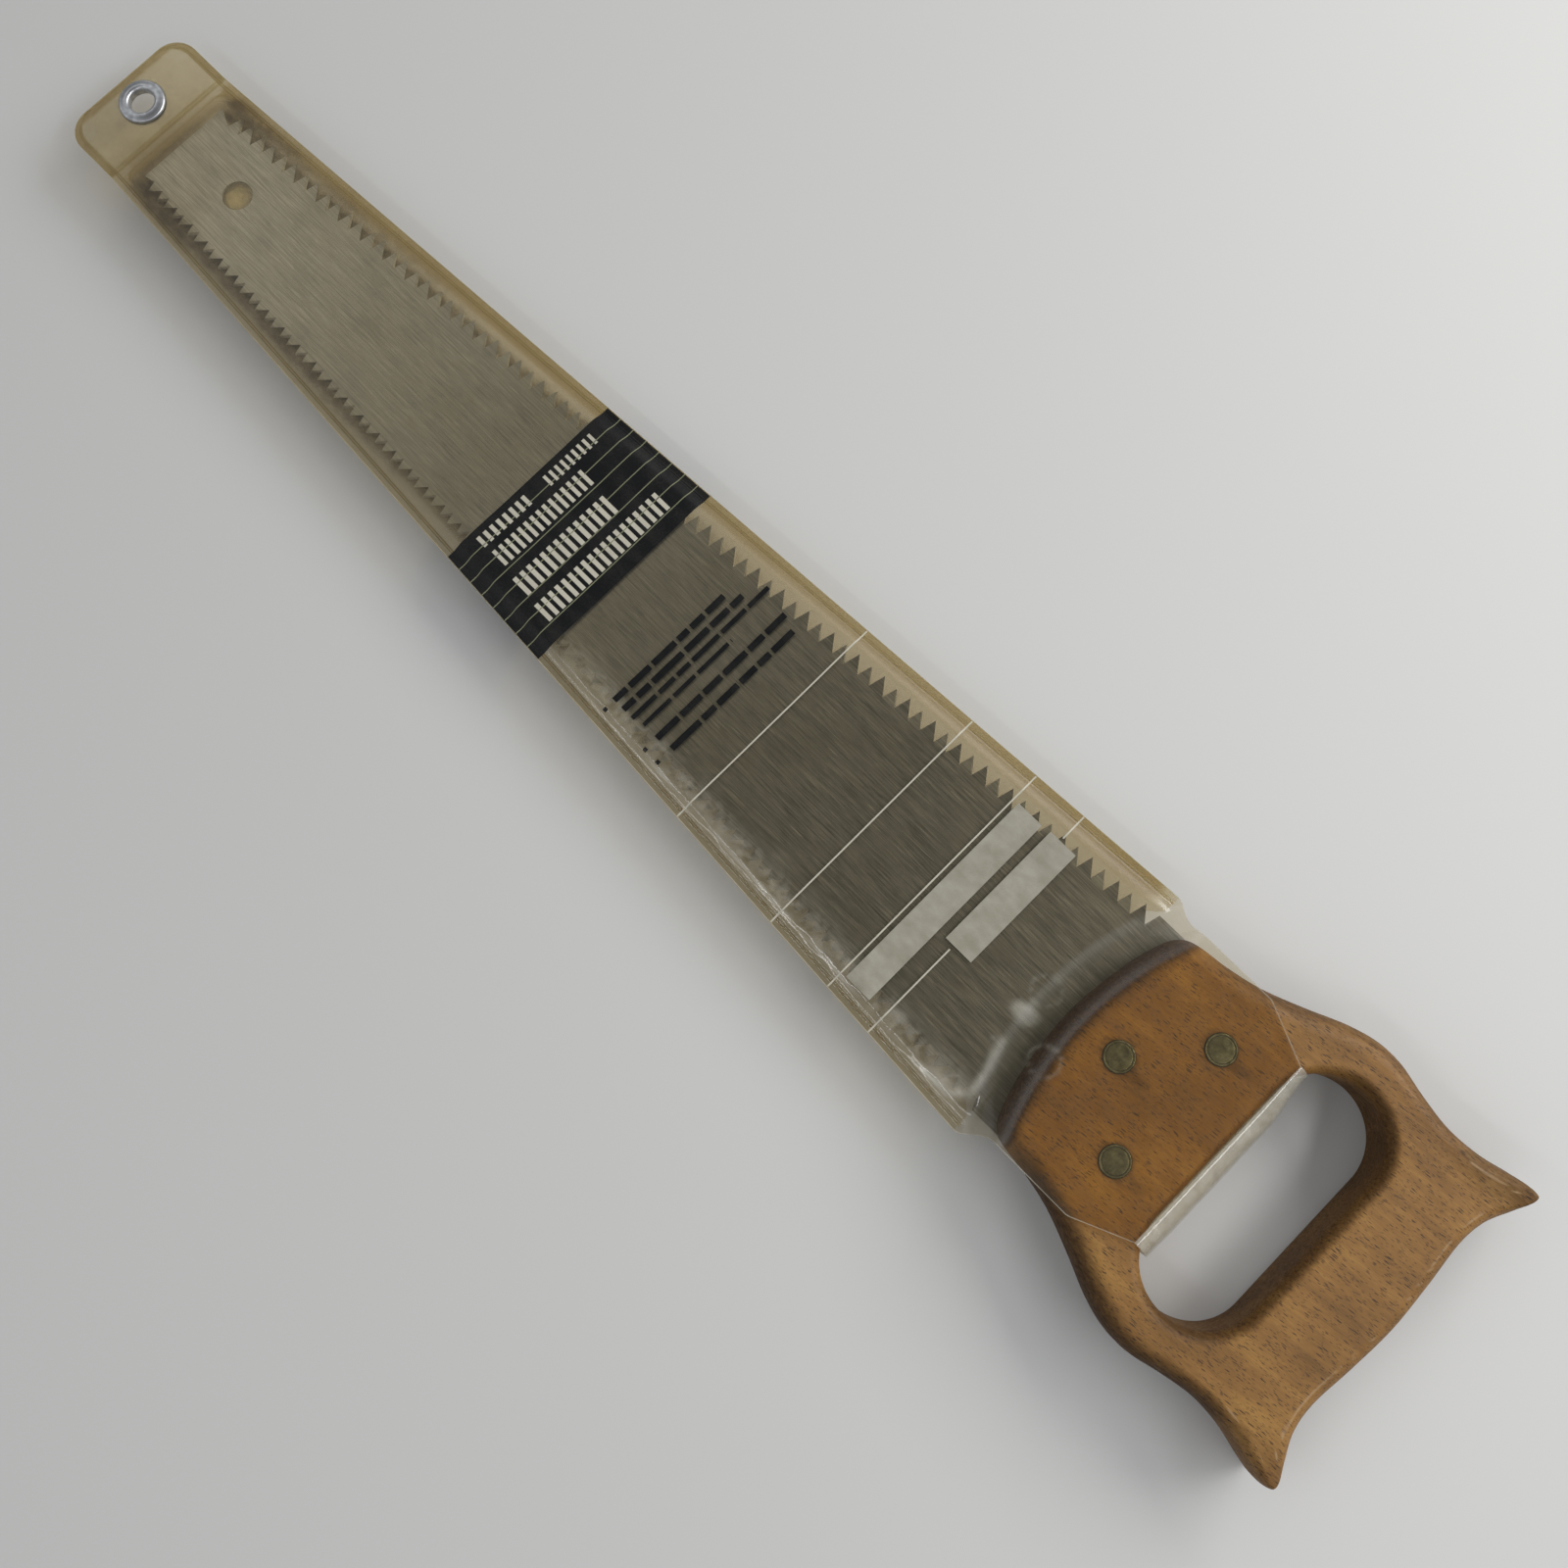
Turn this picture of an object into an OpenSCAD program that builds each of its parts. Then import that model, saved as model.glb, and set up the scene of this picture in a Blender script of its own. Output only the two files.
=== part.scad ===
// Double-edged pruning saw in its clear vinyl sleeve.
// The saw lies flat: x runs from the toe of the blade towards the handle,
// y points to the coarse teeth, z is up, and the sleeve's underside is at z = 0.
// The origin is under the middle of the whole length.

/* [Blade] */
// Toe to the front of the handle, on the centre line
blade_len = 393.6; // [250:0.1:520]
// Thickness of the steel plate
blade_thick = 1; // [0.7:0.05:1.6]
// Width over the tooth points at the toe
toe_w = 38.4; // [28:0.1:60]
// Width over the heel corners, where the plate meets the handle
heel_w = 78.4; // [60:0.1:96]
// Length of plain edge between the last tooth and the front of the handle
heel_plain = 0.4; // [0:0.1:6]
// Diameter of the hanging hole near the toe
toe_hole_d = 10; // [5:0.1:14]
// Toe edge to the centre of the hanging hole
toe_hole_x = 26.9; // [14:0.1:60]
// Drop of the plate's two toe corners below the tooth points
toe_corner = 2.4; // [1:0.1:5]

/* [Teeth] */
// Coarse teeth, point to point
coarse_pitch = 5.08; // [3:0.01:8]
// Depth of the coarse teeth
coarse_depth = 5.5; // [3:0.1:6.6]
// Fine teeth, point to point
fine_pitch = 4; // [2.5:0.01:6]
// Depth of the fine teeth
fine_depth = 3.7; // [2:0.1:5]
// Sideways set of the tooth points, to one side and the other in turn
tooth_set = 0.3; // [0:0.05:0.5]
// How far behind its front gullet a point stands, as a part of the pitch
point_lean = 0.24; // [0.1:0.01:0.5]
// Slant of the filed flanks, from one face of the plate to the other
filing = 0.5; // [0:0.05:0.9]

/* [Rivets] */
// Front of the handle to the single rivet on the centre line
rivet_near = 17.3; // [12:0.1:20]
// End of the tang to the pair of rivets
rivet_far = 10.1; // [8:0.1:14]
// Distance between the pair of rivets
rivet_gauge = 43.1; // [30:0.1:54]
// Diameter of a rivet head
rivet_head_d = 9.3; // [7:0.1:12]
// Thickness of a rivet head
rivet_head_t = 1.4; // [1:0.1:2]
// How far a head stands proud of the wood
rivet_proud = 0.3; // [0.1:0.05:0.6]
// Outer diameter of the rivet's tube
rivet_tube_d = 6; // [4.6:0.1:7.4]
// Diameter of the pin that closes the tube
rivet_pin_d = 3.6; // [2:0.1:4.4]

/* [Handle] */
// Front of the handle to the points of the horns
handle_len = 124.4; // [112:0.1:160]
// How far the cheeks stand out past the heel corners, on each side
cheek_out = 16.8; // [13:0.1:24]
// Thickness of the wood
handle_thick = 22; // [18:0.1:28]
// Radius of the curved front edge
front_r = 104; // [84:1:160]
// Front of the handle to the near side of the hand hole
web_len = 55; // [45:0.1:66]
// Wood between the end of the tang and the hand hole
tang_end = 9; // [6:0.1:14]
// Far side of the hand hole to the middle of the back
grip_w = 31; // [24:0.1:42]
// Wood beside each end of the hand hole, at the widest place
cheek_w = 14.4; // [11:0.1:20]
// How far the horns reach past the middle of the back
horn_reach = 3.6; // [2:0.1:6]
// Half height of the flat band round the side of the wood, between the rounded edges
side_flat = 2; // [1:0.1:4]
// Width of the rounding round the hand hole
rim_w = 3.4; // [2:0.1:4.5]
// Height of the rounding round the hand hole
rim_h = 5; // [3:0.1:7]

/* [Sleeve] */
// Thickness of the vinyl film
film = 0.45; // [0.3:0.05:0.8]
// Length of the hanging tab, from its end to the toe of the blade
tab_len = 31.6; // [28:0.1:40]
// Corner radius of the tab
tab_r = 8.5; // [4:0.1:12]
// Closed end of the pocket to the toe of the blade
pocket_end = 5; // [3:0.1:8]
// Margin from the tooth points to the edge of the film, at the toe
toe_margin = 5.9; // [4.6:0.1:9]
// Margin from the heel corners to the edge of the film, at the mouth
mouth_margin = 7.8; // [6:0.1:12]
// Width of the welded band down each side
weld_w = 1.9; // [1.5:0.1:3]
// Depth of the groove that the welding bar leaves beside the band
groove = 0.2; // [0:0.05:0.3]
// Overhang of the flap past the heel corners, on each side
flap_over = 2.4; // [1:0.1:4]
// Length of the flap's slanted corners
flap_cut = 17.8; // [10:0.1:22]
// How far the near side of the hand hole has curved back at each edge of the strap
strap_curl = 2.8; // [0:0.1:3.2]
// How far the strap bellies into the hand hole
strap_belly = 7.2; // [6:0.1:9]
// Length of the tongue lapped on the back of the pocket
tongue_lap = 14; // [8:0.1:24]
// Depth of the thumb notch in the back edge of the mouth
notch = 6; // [0:0.1:8]

/* [Eyelet] */
// Outer diameter of the eyelet's flange
eyelet_d = 15.6; // [12.8:0.1:18.8]
// Bore of the eyelet
eyelet_bore = 8.4; // [6:0.1:10.1]
// Height of the rolled flange above the film
eyelet_h = 1.3; // [0.8:0.1:2]
// Wall thickness of the eyelet's barrel
eyelet_wall = 0.5; // [0.3:0.05:0.8]
// Thickness of the washer under the tab
washer_t = 0.5; // [0.3:0.05:1]
// End of the tab to the centre of the eyelet
eyelet_x = 10.8; // [10:0.1:14]

/* [Labels] */
// Thickness of the paper labels
label_t = 0.12; // [0.1:0.01:0.3]
// Width of the long label, along the saw
long_label_w = 9.5; // [6:0.1:12]
// Length of the long label, across the saw
long_label_len = 72; // [40:0.1:74]
// Mouth of the sleeve to the long label
long_label_x = 42.7; // [40:0.1:80]
// Width of the short label, along the saw
short_label_w = 10.1; // [6:0.1:12.4]
// Length of the short label, across the saw
short_label_len = 44; // [20:0.1:54]
// Mouth of the sleeve to the short label
short_label_x = 29.6; // [20:0.1:30]

/* [Hidden] */
$fn = 64;

// Clearances
film_gap = 0.3;
plate_gap = 0.05;
tang_gap = 0.4;
head_gap = 0.1;
tube_gap = 0.1;
pin_gap = 0.04;
barrel_gap = 0.05;

// Places along the saw, from the toe
tang_len = web_len - tang_end;
tips_x = blade_len + handle_len;
back_x = tips_x - horn_reach;
handle_w = heel_w + 2 * cheek_out;
hole_x0 = blade_len + web_len;
hole_x1 = back_x - grip_w;
hole_r = (hole_x1 - hole_x0) / 2;
hole_x = (hole_x0 + hole_x1) / 2;
hole_half = handle_w / 2 - cheek_w - hole_r;
mouth_x = blade_len;
mid_x = (tips_x - tab_len) / 2;

// Heights from the plane of the blade
wood_z = handle_thick / 2;
pocket_z = blade_thick / 2 + tooth_set + film_gap;
over_z = wood_z + rivet_proud + film_gap;
base_z = over_z + film;

// Puts a piece drawn in the plane of the blade into its place over the origin.
module place() {
    translate([-mid_x, 0, base_z]) children();
}

function mix(a, b, t) = a + (b - a) * t;
function clamp(t) = min(1, max(0, t));
function ease(t) = let (c = clamp(t)) c * c * (3 - 2 * c);
function flat(list) = [for (part = list) each part];
function turned(list) = [for (i = [len(list) - 1:-1:0]) list[i]];

// BLADE
// Half the width over the tooth points at x.
function blade_half(x) = mix(toe_w, heel_w, x / blade_len) / 2;
heel_half = heel_w / 2;
last_gullet = blade_len - heel_plain - 1.2;

// One toothed edge from the heel to the toe, as points [x, distance out, set, dx, dy, stands].
// Gullets and tooth points follow each other. The points are set to each side in turn,
// and dx and dy are half the slant that the file leaves between the two faces. stands is
// true for a point that stands out past the line of the gullets.
function teeth(pitch, depth) = let (
    count = floor((last_gullet - 2) / pitch),
    slant = filing / 2
) flat([
    [[last_gullet, blade_half(last_gullet) - depth, 0, slant, 0, false]],
    for (k = [0:count - 1])
        let (
            way = k % 2 == 0 ? 1 : -1,
            gullet = last_gullet - (k + 1) * pitch,
            point = gullet + point_lean * pitch
        ) [
            [point, blade_half(point) - slant, way * tooth_set, 0, way * slant, true],
            [gullet, blade_half(gullet) - depth, 0, -way * slant, 0, false]
        ],
    [
        [0, blade_half(0) - min(toe_corner, depth - 0.6), 0, 0, 0, true],
        [0, blade_half(0) - depth, 0, 0, 0, false]
    ]
]);

// Plain edge from the end of the tang to the heel corner.
function tang_edge() = let (end = blade_len + tang_len, cut = 9) [
    [end, heel_half - cut, 0, 0, 0, false],
    [end - cut, heel_half, 0, 0, 0, false],
    [blade_len - heel_plain, heel_half, 0, 0, 0, false]
];

// The whole outline, anticlockwise from the middle of the toe, the fine edge first.
function blade_ring() = let (
    fine = flat([tang_edge(), teeth(fine_pitch, fine_depth)]),
    coarse = flat([tang_edge(), teeth(coarse_pitch, coarse_depth)])
) flat([
    [[0, 0, 0, 0, 0, false]],
    [for (p = turned(fine)) [p[0], -p[1], p[2], p[3], -p[4], p[5]]],
    coarse
]);

// A list the other way round, from the same first item.
function backwards(list) = [for (i = [len(list):-1:1]) list[i % len(list)]];

// Each side of the plate is a flat face through the gullets, a flat face for the tang, and
// a bent triangle for each tooth and each toe corner.
module toothed_plate() {
    ring = blade_ring();
    n = len(ring);
    half = blade_thick / 2;
    upper = [for (p = ring) [p[0] + p[3], p[1] + p[4], p[2] + half]];
    lower = [for (p = ring) [p[0] - p[3], p[1] - p[4], p[2] - half]];
    tooth = [for (i = [0:n - 1]) if (ring[i][5]) i];
    plate = [for (i = [0:n - 1]) if (!ring[i][5] && ring[i][0] <= last_gullet) i];
    tang = [for (i = [0:n - 1]) if (!ring[i][5] && ring[i][0] >= last_gullet) i];
    polyhedron(flat([upper, lower]), flat([
        [backwards(plate), backwards(tang)],
        [[for (i = plate) i + n], [for (i = tang) i + n]],
        [for (i = tooth) [i + 1, i, i - 1]],
        [for (i = tooth) [i - 1 + n, i + n, i + 1 + n]],
        flat([for (i = [0:n - 1]) let (j = (i + 1) % n) [[i, j, j + n], [i, j + n, i + n]]])
    ]));
}

function rivet_places() = [
    [blade_len + rivet_near, 0],
    [blade_len + tang_len - rivet_far, rivet_gauge / 2],
    [blade_len + tang_len - rivet_far, -rivet_gauge / 2]
];

// Upright cylinder across the plane of the blade.
module through(d, h) {
    cylinder(d = d, h = h, center = true);
}

module blade() {
    color("silver") place() difference() {
        toothed_plate();
        translate([toe_hole_x, 0, 0]) through(toe_hole_d, 4 * blade_thick);
        for (p = rivet_places())
            translate([p[0], p[1], 0]) through(rivet_tube_d + 2 * tube_gap, 4 * blade_thick);
    }
}

// HANDLE
// Distance that the curved front has fallen back at a distance out from the centre line.
function front_at(out) = front_r - sqrt(front_r * front_r - out * out);

// Half of the outline at its drawn size, 124.4 long with its heel at 39.2 and its cheeks at
// 56. The front is the arc, given by distance out and width of the rounded edge there. Then
// comes the heel: distance behind the arc's end, distance out, width. The rest of the side and
// the back have their distance behind the front, distance out, width.
drawn_len = 124.4;
drawn_heel = 39.2;
drawn_cheek = 56;
arc_out = 36;
arc_points = [
    [0, 6],
    [20, 6],
    [33, 5.5]
];
heel_points = [
    [2, 38, 5],
    [6.8, 40, 5.6]
];
side_points = [
    [23, 41.3, 6.2],
    [34, 43.8, 6.6],
    [46, 48.4, 6.8],
    [57.6, 53.4, 6.6],
    [66.6, 55.8, 6.2],
    [75, 55.8, 6],
    [85, 53.4, 5.2],
    [95.6, 51.6, 4.6],
    [106, 52.1, 4.4],
    [114.6, 54, 3.6],
    [120.4, 55.1, 2.4],
    [123.4, 54.7, 1.5],
    [124.4, 53.1, 1.2],
    [124, 50.2, 1.6],
    [122.2, 45.4, 3.2],
    [119.5, 38.4, 4.8],
    [118.6, 29.6, 5.2],
    [119.9, 15.5, 5.6],
    [120.8, 0, 5.8]
];
function out_at(drawn) = drawn < drawn_heel
    ? drawn * heel_half / drawn_heel
    : heel_half + (drawn - drawn_heel) * cheek_out / (drawn_cheek - drawn_heel);

// Smooth closed curve through a list of points, with steps points for each stretch.
function curve_at(a, b, c, d, t) =
    (2 * b + (c - a) * t + (2 * a - 5 * b + 4 * c - d) * t * t
    + (3 * b - a - 3 * c + d) * t * t * t) / 2;
function smooth(list, steps) = let (n = len(list)) [
    for (i = [0:n - 1], s = [0:steps - 1])
        curve_at(list[(i + n - 1) % n], list[i], list[(i + 1) % n], list[(i + 2) % n], s / steps)
];

// One half of the outline at the handle's own length and width, from the front to the back.
function half_outline() = let (
    scale = handle_len / drawn_len,
    heel_x = blade_len + front_at(out_at(arc_out))
) flat([
    [for (p = arc_points) [blade_len + front_at(out_at(p[0])), out_at(p[0]), p[1]]],
    [for (p = heel_points) [heel_x + p[0], out_at(p[1]), p[2]]],
    [for (p = side_points) [blade_len + p[0] * scale, out_at(p[1]), p[2]]]
]);

// Both halves, anticlockwise.
function handle_outline() = let (
    half = half_outline(),
    last = len(half) - 1
) smooth(flat([
    [for (i = [0:last]) [half[i][0], -half[i][1], half[i][2]]],
    [for (i = [last - 1:-1:1]) half[i]]
]), 3);

// Unit vector into the wood at point i of the outline.
function inward(list, i) = let (
    n = len(list),
    step = list[(i + 1) % n] - list[(i + n - 1) % n],
    size = norm([step[0], step[1]])
) [-step[1] / size, step[0] / size];

// Ring of the rounded outer edge: turn is 0 on the side of the wood and 90 on its face.
edge_turns = [0, 24, 46, 64, 78, 90];
function edge_ring(outline, turn, side) = [
    for (i = [0:len(outline) - 1])
        let (n = inward(outline, i), w = outline[i][2] * (1 - cos(turn)))
        [
            outline[i][0] + w * n[0],
            outline[i][1] + w * n[1],
            side * mix(side_flat, wood_z, sin(turn))
        ]
];

// Ring of the hand hole's rim, a slot with round ends: each of its points is the one
// nearest to a point of the outline. turn is 0 in the hole and 90 on the face of the wood.
rim_turns = [0, 30, 60, 90];
function rim_ring(outline, turn, side) = let (
    r = hole_r + rim_w * (1 - cos(turn)),
    z = wood_z - rim_h * (1 - sin(turn))
) [
    for (p = outline)
        let (
            mid = [hole_x, max(-hole_half, min(hole_half, p[1]))],
            away = [p[0], p[1]] - mid,
            at = mid + away * r / norm(away)
        )
        [at[0], at[1], side * z]
];

// Closed loop of rings with the same count, each joined to the next and the last to the first.
module ring_loop(rings) {
    n = len(rings[0]);
    m = len(rings);
    polyhedron(flat(rings), flat([
        for (r = [0:m - 1], i = [0:n - 1])
            let (
                j = (i + 1) % n,
                a = r * n + i,
                b = r * n + j,
                c = ((r + 1) % m) * n + i,
                d = ((r + 1) % m) * n + j
            )
            [[a, c, d], [a, d, b]]
    ]));
}

// The wood with its hand hole: round the outer edge from the underside to the top,
// then down through the hole.
module handle_body() {
    outline = handle_outline();
    ring_loop(flat([
        [for (turn = turned(edge_turns)) edge_ring(outline, turn, -1)],
        [for (turn = edge_turns) edge_ring(outline, turn, 1)],
        [for (turn = turned(rim_turns)) rim_ring(outline, turn, 1)],
        [for (turn = rim_turns) rim_ring(outline, turn, -1)]
    ]));
}

// Saw cut for the tang, right across the handle and open at its sides.
module kerf() {
    deep = tang_len + tang_gap;
    translate([blade_len - 4, -handle_w, -blade_thick / 2 - plate_gap])
        cube([deep + 4, 2 * handle_w, blade_thick + 2 * plate_gap]);
}

head_top = wood_z + rivet_proud;
head_under = head_top - rivet_head_t;

module handle() {
    color("peru") place() difference() {
        handle_body();
        kerf();
        for (p = rivet_places()) translate([p[0], p[1], 0]) {
            through(rivet_tube_d + 2 * tube_gap, handle_thick + 2);
            for (side = [0, 180]) rotate([side, 0, 0]) translate([0, 0, head_under])
                cylinder(d = rivet_head_d + 2 * head_gap, h = rivet_head_t + 1);
        }
    }
}

// RIVETS
// Round flat head with a bevelled edge, from head_under up to head_top.
module rivet_head() {
    bevel = 0.35;
    r = rivet_head_d / 2;
    rotate_extrude() polygon([
        [0, head_under], [r, head_under], [r, head_top - bevel], [r - bevel, head_top], [0, head_top]
    ]);
}

// Headed pin from above, which closes inside the tube of the cap.
module rivet(p) {
    reach = 2 * head_under - 1;
    color("darkkhaki") place() translate([p[0], p[1], 0]) {
        rivet_head();
        translate([0, 0, head_under - reach]) cylinder(d = rivet_pin_d, h = reach + 0.5);
    }
}

// Headed tube from below, almost as long as the wood is thick.
module rivet_cap(p) {
    tube = 2 * head_under - 0.4;
    color("darkkhaki") place() translate([p[0], p[1], 0]) rotate([180, 0, 0]) {
        rivet_head();
        difference() {
            translate([0, 0, head_under - tube]) cylinder(d = rivet_tube_d, h = tube + 0.5);
            translate([0, 0, head_under - tube - 1])
                cylinder(d = rivet_pin_d + 2 * pin_gap, h = tube + 1);
        }
    }
}

module rivet_front() { rivet(rivet_places()[0]); }
module rivet_coarse_side() { rivet(rivet_places()[1]); }
module rivet_fine_side() { rivet(rivet_places()[2]); }
module rivet_cap_front() { rivet_cap(rivet_places()[0]); }
module rivet_cap_coarse_side() { rivet_cap(rivet_places()[1]); }
module rivet_cap_fine_side() { rivet_cap(rivet_places()[2]); }

// SLEEVE
// The film lifts off the blade before the handle and lies on the wood just behind its front.
lift_x0 = blade_len - 12;
lift_x1 = blade_len + 5.5;
shoulder = 8.6;
strap_x = hole_x0 - 0.8;
cut_x = strap_x - flap_cut;
seal_x = -pocket_end - 3;
lap_x = lift_x0 - tongue_lap;
flap_half = heel_half + flap_over;
strap_half = hole_half + sqrt(pow(hole_r, 2) - pow(hole_r - strap_curl, 2));

function sleeve_half(x) = mix(toe_w / 2 + toe_margin, heel_half + mouth_margin, x / blade_len);

// Half a width that starts with a round corner, at a distance from its end.
function cornered(half, r, from_end) = from_end >= r
    ? half
    : half - r + sqrt(max(0, r * r - pow(r - from_end, 2)));

// Half the width of the front film at x: tab, straight taper, shoulder at the mouth, flap.
function front_half(x) =
    x < mouth_x ? cornered(sleeve_half(max(x, seal_x)), tab_r, x + tab_len)
    : x < cut_x ? mix(sleeve_half(mouth_x), flap_half, ease((x - mouth_x) / shoulder))
    : mix(flap_half, strap_half, (x - cut_x) / flap_cut);

// Half the width of the tongue under the handle at x, narrower where it is lapped.
function tongue_half(x) = cornered(
    strap_half * mix(0.8, 1, ease((x - lap_x) / (blade_len - lap_x))), 6, x - lap_x
);

// How far the film has risen onto the wood at a point, 0 to 1. The rise follows the
// curved front of the handle.
function risen(x, y) = ease(
    (x - front_at(min(abs(y), heel_half - 1)) - lift_x0) / (lift_x1 - lift_x0)
);

// Height of the pocket's film at x, at a distance in from its edge: the welded band is
// flat, and the film then slopes up to the height that the blade needs.
function pocket_at(x, in) = pocket_z
    * ease((x + pocket_end) / (pocket_end - 0.8))
    * ease((in - weld_w - 0.7) / 3.2);

// Inner face of the front film. Behind the mouth its edges are free and lift onto the wood.
function front_z(x, y, in) = let (
    free = clamp((x - mouth_x) / 9),
    up = risen(x, y),
    start = mix(weld_w + 0.7, -15, free),
    slope = mix(3.2, 15, ease((x - lift_x0) / 12))
) mix(pocket_at(x, in) * (1 - up), over_z * ease((in - start) / slope), up) ;

// The groove of the welding bar: across the closed end of the pocket and down both sides.
function thickness(x, in) =
    x < mouth_x && (abs(in - weld_w - 0.35) < 0.01 || abs(x - seal_x + 0.6) < 0.01)
        ? film - groove : film;

// Distances in from the edge of the film to its columns, then parts of the rest.
edge_ins = [0, weld_w, weld_w + 0.35, weld_w + 0.7, weld_w + 1.9, weld_w + 2.9, weld_w + 3.9];
inner_parts = [0.14, 0.3, 0.5, 0.72];
function column_ins(half) = let (last = edge_ins[len(edge_ins) - 1]) flat([
    edge_ins,
    [for (part = inner_parts) mix(last, half, part)]
]);

// A row of points across the film at x from y = -half to half, as [x, y, distance in].
function row_points(x, half) = let (ins = column_ins(half)) flat([
    [for (in = ins) [x, in - half, in]],
    [[x, 0, half]],
    [for (in = turned(ins)) [x, half - in, in]]
]);

// Rows of the pocket that both films share, from the end of the tab to the lift.
pocket_rows = flat([
    [for (turn = [0:15:90]) tab_r * (1 - cos(turn)) - tab_len],
    [seal_x - 1.2, seal_x - 0.6, seal_x],
    [for (part = [0, 0.3, 0.6, 1]) -mix(pocket_end, 0.8, part)],
    [for (part = [0.33, 0.67, 1]) lift_x0 * part]
]);

// Film over a grid of rows of points [x, y, z, thickness], closed all round. Its two halves
// are split into triangles as mirror images.
module film_sheet(rows) {
    n = len(rows[0]);
    m = len(rows);
    outer = [for (p = flat(rows)) [p[0], p[1], p[2] + p[3]]];
    inner = [for (p = flat(rows)) [p[0], p[1], p[2]]];
    under = m * n;
    rim = flat([
        [for (j = [0:n - 1]) j],
        [for (i = [1:m - 1]) i * n + n - 1],
        [for (j = [n - 2:-1:0]) (m - 1) * n + j],
        [for (i = [m - 2:-1:1]) i * n]
    ]);
    polyhedron(flat([outer, inner]), flat([
        flat([for (i = [0:m - 2], j = [0:n - 2])
            let (
                a = i * n + j,
                b = a + 1,
                c = a + n,
                d = c + 1,
                parts = j < (n - 1) / 2 ? [[a, b, c], [b, d, c]] : [[a, b, d], [a, d, c]]
            )
            flat([parts, [for (part = parts) [for (k = turned(part)) k + under]]])
        ]),
        flat([for (k = [0:len(rim) - 1])
            let (a = rim[k], b = rim[(k + 1) % len(rim)])
            [[a, b + under, b], [a, a + under, b + under]]
        ])
    ]));
}

module eyelet_hole() {
    translate([eyelet_x - tab_len, 0, 0]) through(eyelet_bore + 2 * (eyelet_wall + barrel_gap), 4);
}

// Front film: tab, pocket, rise over the front of the handle, and flap up to the hand hole.
module sleeve_front() {
    rows = flat([
        pocket_rows,
        [for (k = [1:6]) mix(lift_x0, mouth_x, k / 6)],
        [for (k = [1:5]) mouth_x + shoulder * k / 5],
        [for (k = [1:2]) mouth_x + shoulder + 2.2 * k],
        [cut_x, strap_x]
    ]);
    color("khaki") place() difference() {
        film_sheet([for (x = rows) [
            for (p = row_points(x, front_half(x)))
                [x, p[1], front_z(x, p[1], p[2]), thickness(x, p[2])]
        ]]);
        eyelet_hole();
    }
}

// Back film: tab and pocket, with a thumb notch in its edge of the mouth.
module sleeve_back() {
    rows = flat([pocket_rows, [mix(lift_x0, mouth_x, 0.5), mouth_x]]);
    color("khaki") place() mirror([0, 0, 1]) difference() {
        film_sheet([for (x = rows) [
            for (p = row_points(x, front_half(min(x, mouth_x - 0.001))))
                let (back = notch * (1 - ease((abs(p[1]) - heel_half + 4) / 7)))
                [
                    x - back * clamp((x - lift_x0) / (mouth_x - lift_x0)),
                    p[1],
                    pocket_at(x, p[2]),
                    thickness(x, p[2])
                ]
        ]]);
        eyelet_hole();
    }
}

// Tongue: from the strap back under the handle, and lapped on the outside of the back film.
module sleeve_tongue() {
    rows = flat([
        [for (turn = [0:30:90]) lap_x + 6 * (1 - cos(turn))],
        [for (k = [0:9]) lift_x0 + 2.6 * k],
        [strap_x]
    ]);
    color("khaki") place() mirror([0, 0, 1]) film_sheet([for (x = rows) [
        for (part = [-1, -0.75, -0.5, -0.25, 0, 0.25, 0.5, 0.75, 1])
            let (y = part * tongue_half(x))
            [x, y, mix(pocket_z + film, over_z, risen(x, y)), film]
    ]]);
}

// Strap down through the hand hole from the flap to the tongue: half an oval from the side.
module sleeve_strap() {
    arc = [for (turn = [90:-7.5:-90]) [cos(turn), sin(turn)]];
    profile = flat([
        [for (p = arc) [(strap_belly + film) * p[0], (over_z + film) * p[1]]],
        [for (p = turned(arc)) [strap_belly * p[0], over_z * p[1]]]
    ]);
    color("khaki") place() translate([strap_x, 0, 0])
        rotate([90, 0, 0]) linear_extrude(2 * strap_half, center = true) polygon(profile);
}

// EYELET
// Rolled flange on the tab, barrel through it, and a lip clinched over the washer below.
module eyelet() {
    in = eyelet_bore / 2;
    out = eyelet_d / 2;
    roll = (out - in) / 2;
    lip = in + 1.9;
    under = -film - washer_t;
    hollow = film + 0.45 * eyelet_h;
    color("lightgray") place() translate([eyelet_x - tab_len, 0, 0]) rotate_extrude()
        polygon(flat([
            [[in + 0.3, under - 0.6], [lip - 0.2, under - 0.6], [lip, under]],
            [[in + eyelet_wall, under], [in + eyelet_wall, hollow], [out - eyelet_wall, hollow]],
            [[out - eyelet_wall, film]],
            [for (turn = [0:15:180]) [in + roll + roll * cos(turn), film + eyelet_h * sin(turn)]],
            [[in, under - 0.3]]
        ]));
}

module eyelet_washer() {
    color("lightgray") place() translate([eyelet_x - tab_len, 0, -film - washer_t]) difference() {
        cylinder(d = eyelet_d - 0.6, h = washer_t);
        translate([0, 0, -1]) cylinder(d = eyelet_bore + 2 * (eyelet_wall + barrel_gap), h = washer_t + 2);
    }
}

// LABELS
// Paper slip on the front film, a distance before the mouth and moved sideways by shift.
module label(before, wide, long, shift) {
    color("white") place() translate([mouth_x - before - wide, shift - long / 2, pocket_z + film])
        cube([wide, long, label_t]);
}

module label_long_slip() { label(long_label_x, long_label_w, long_label_len, -2); }
module label_short_slip() { label(short_label_x, short_label_w, short_label_len, 12.5); }

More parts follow.
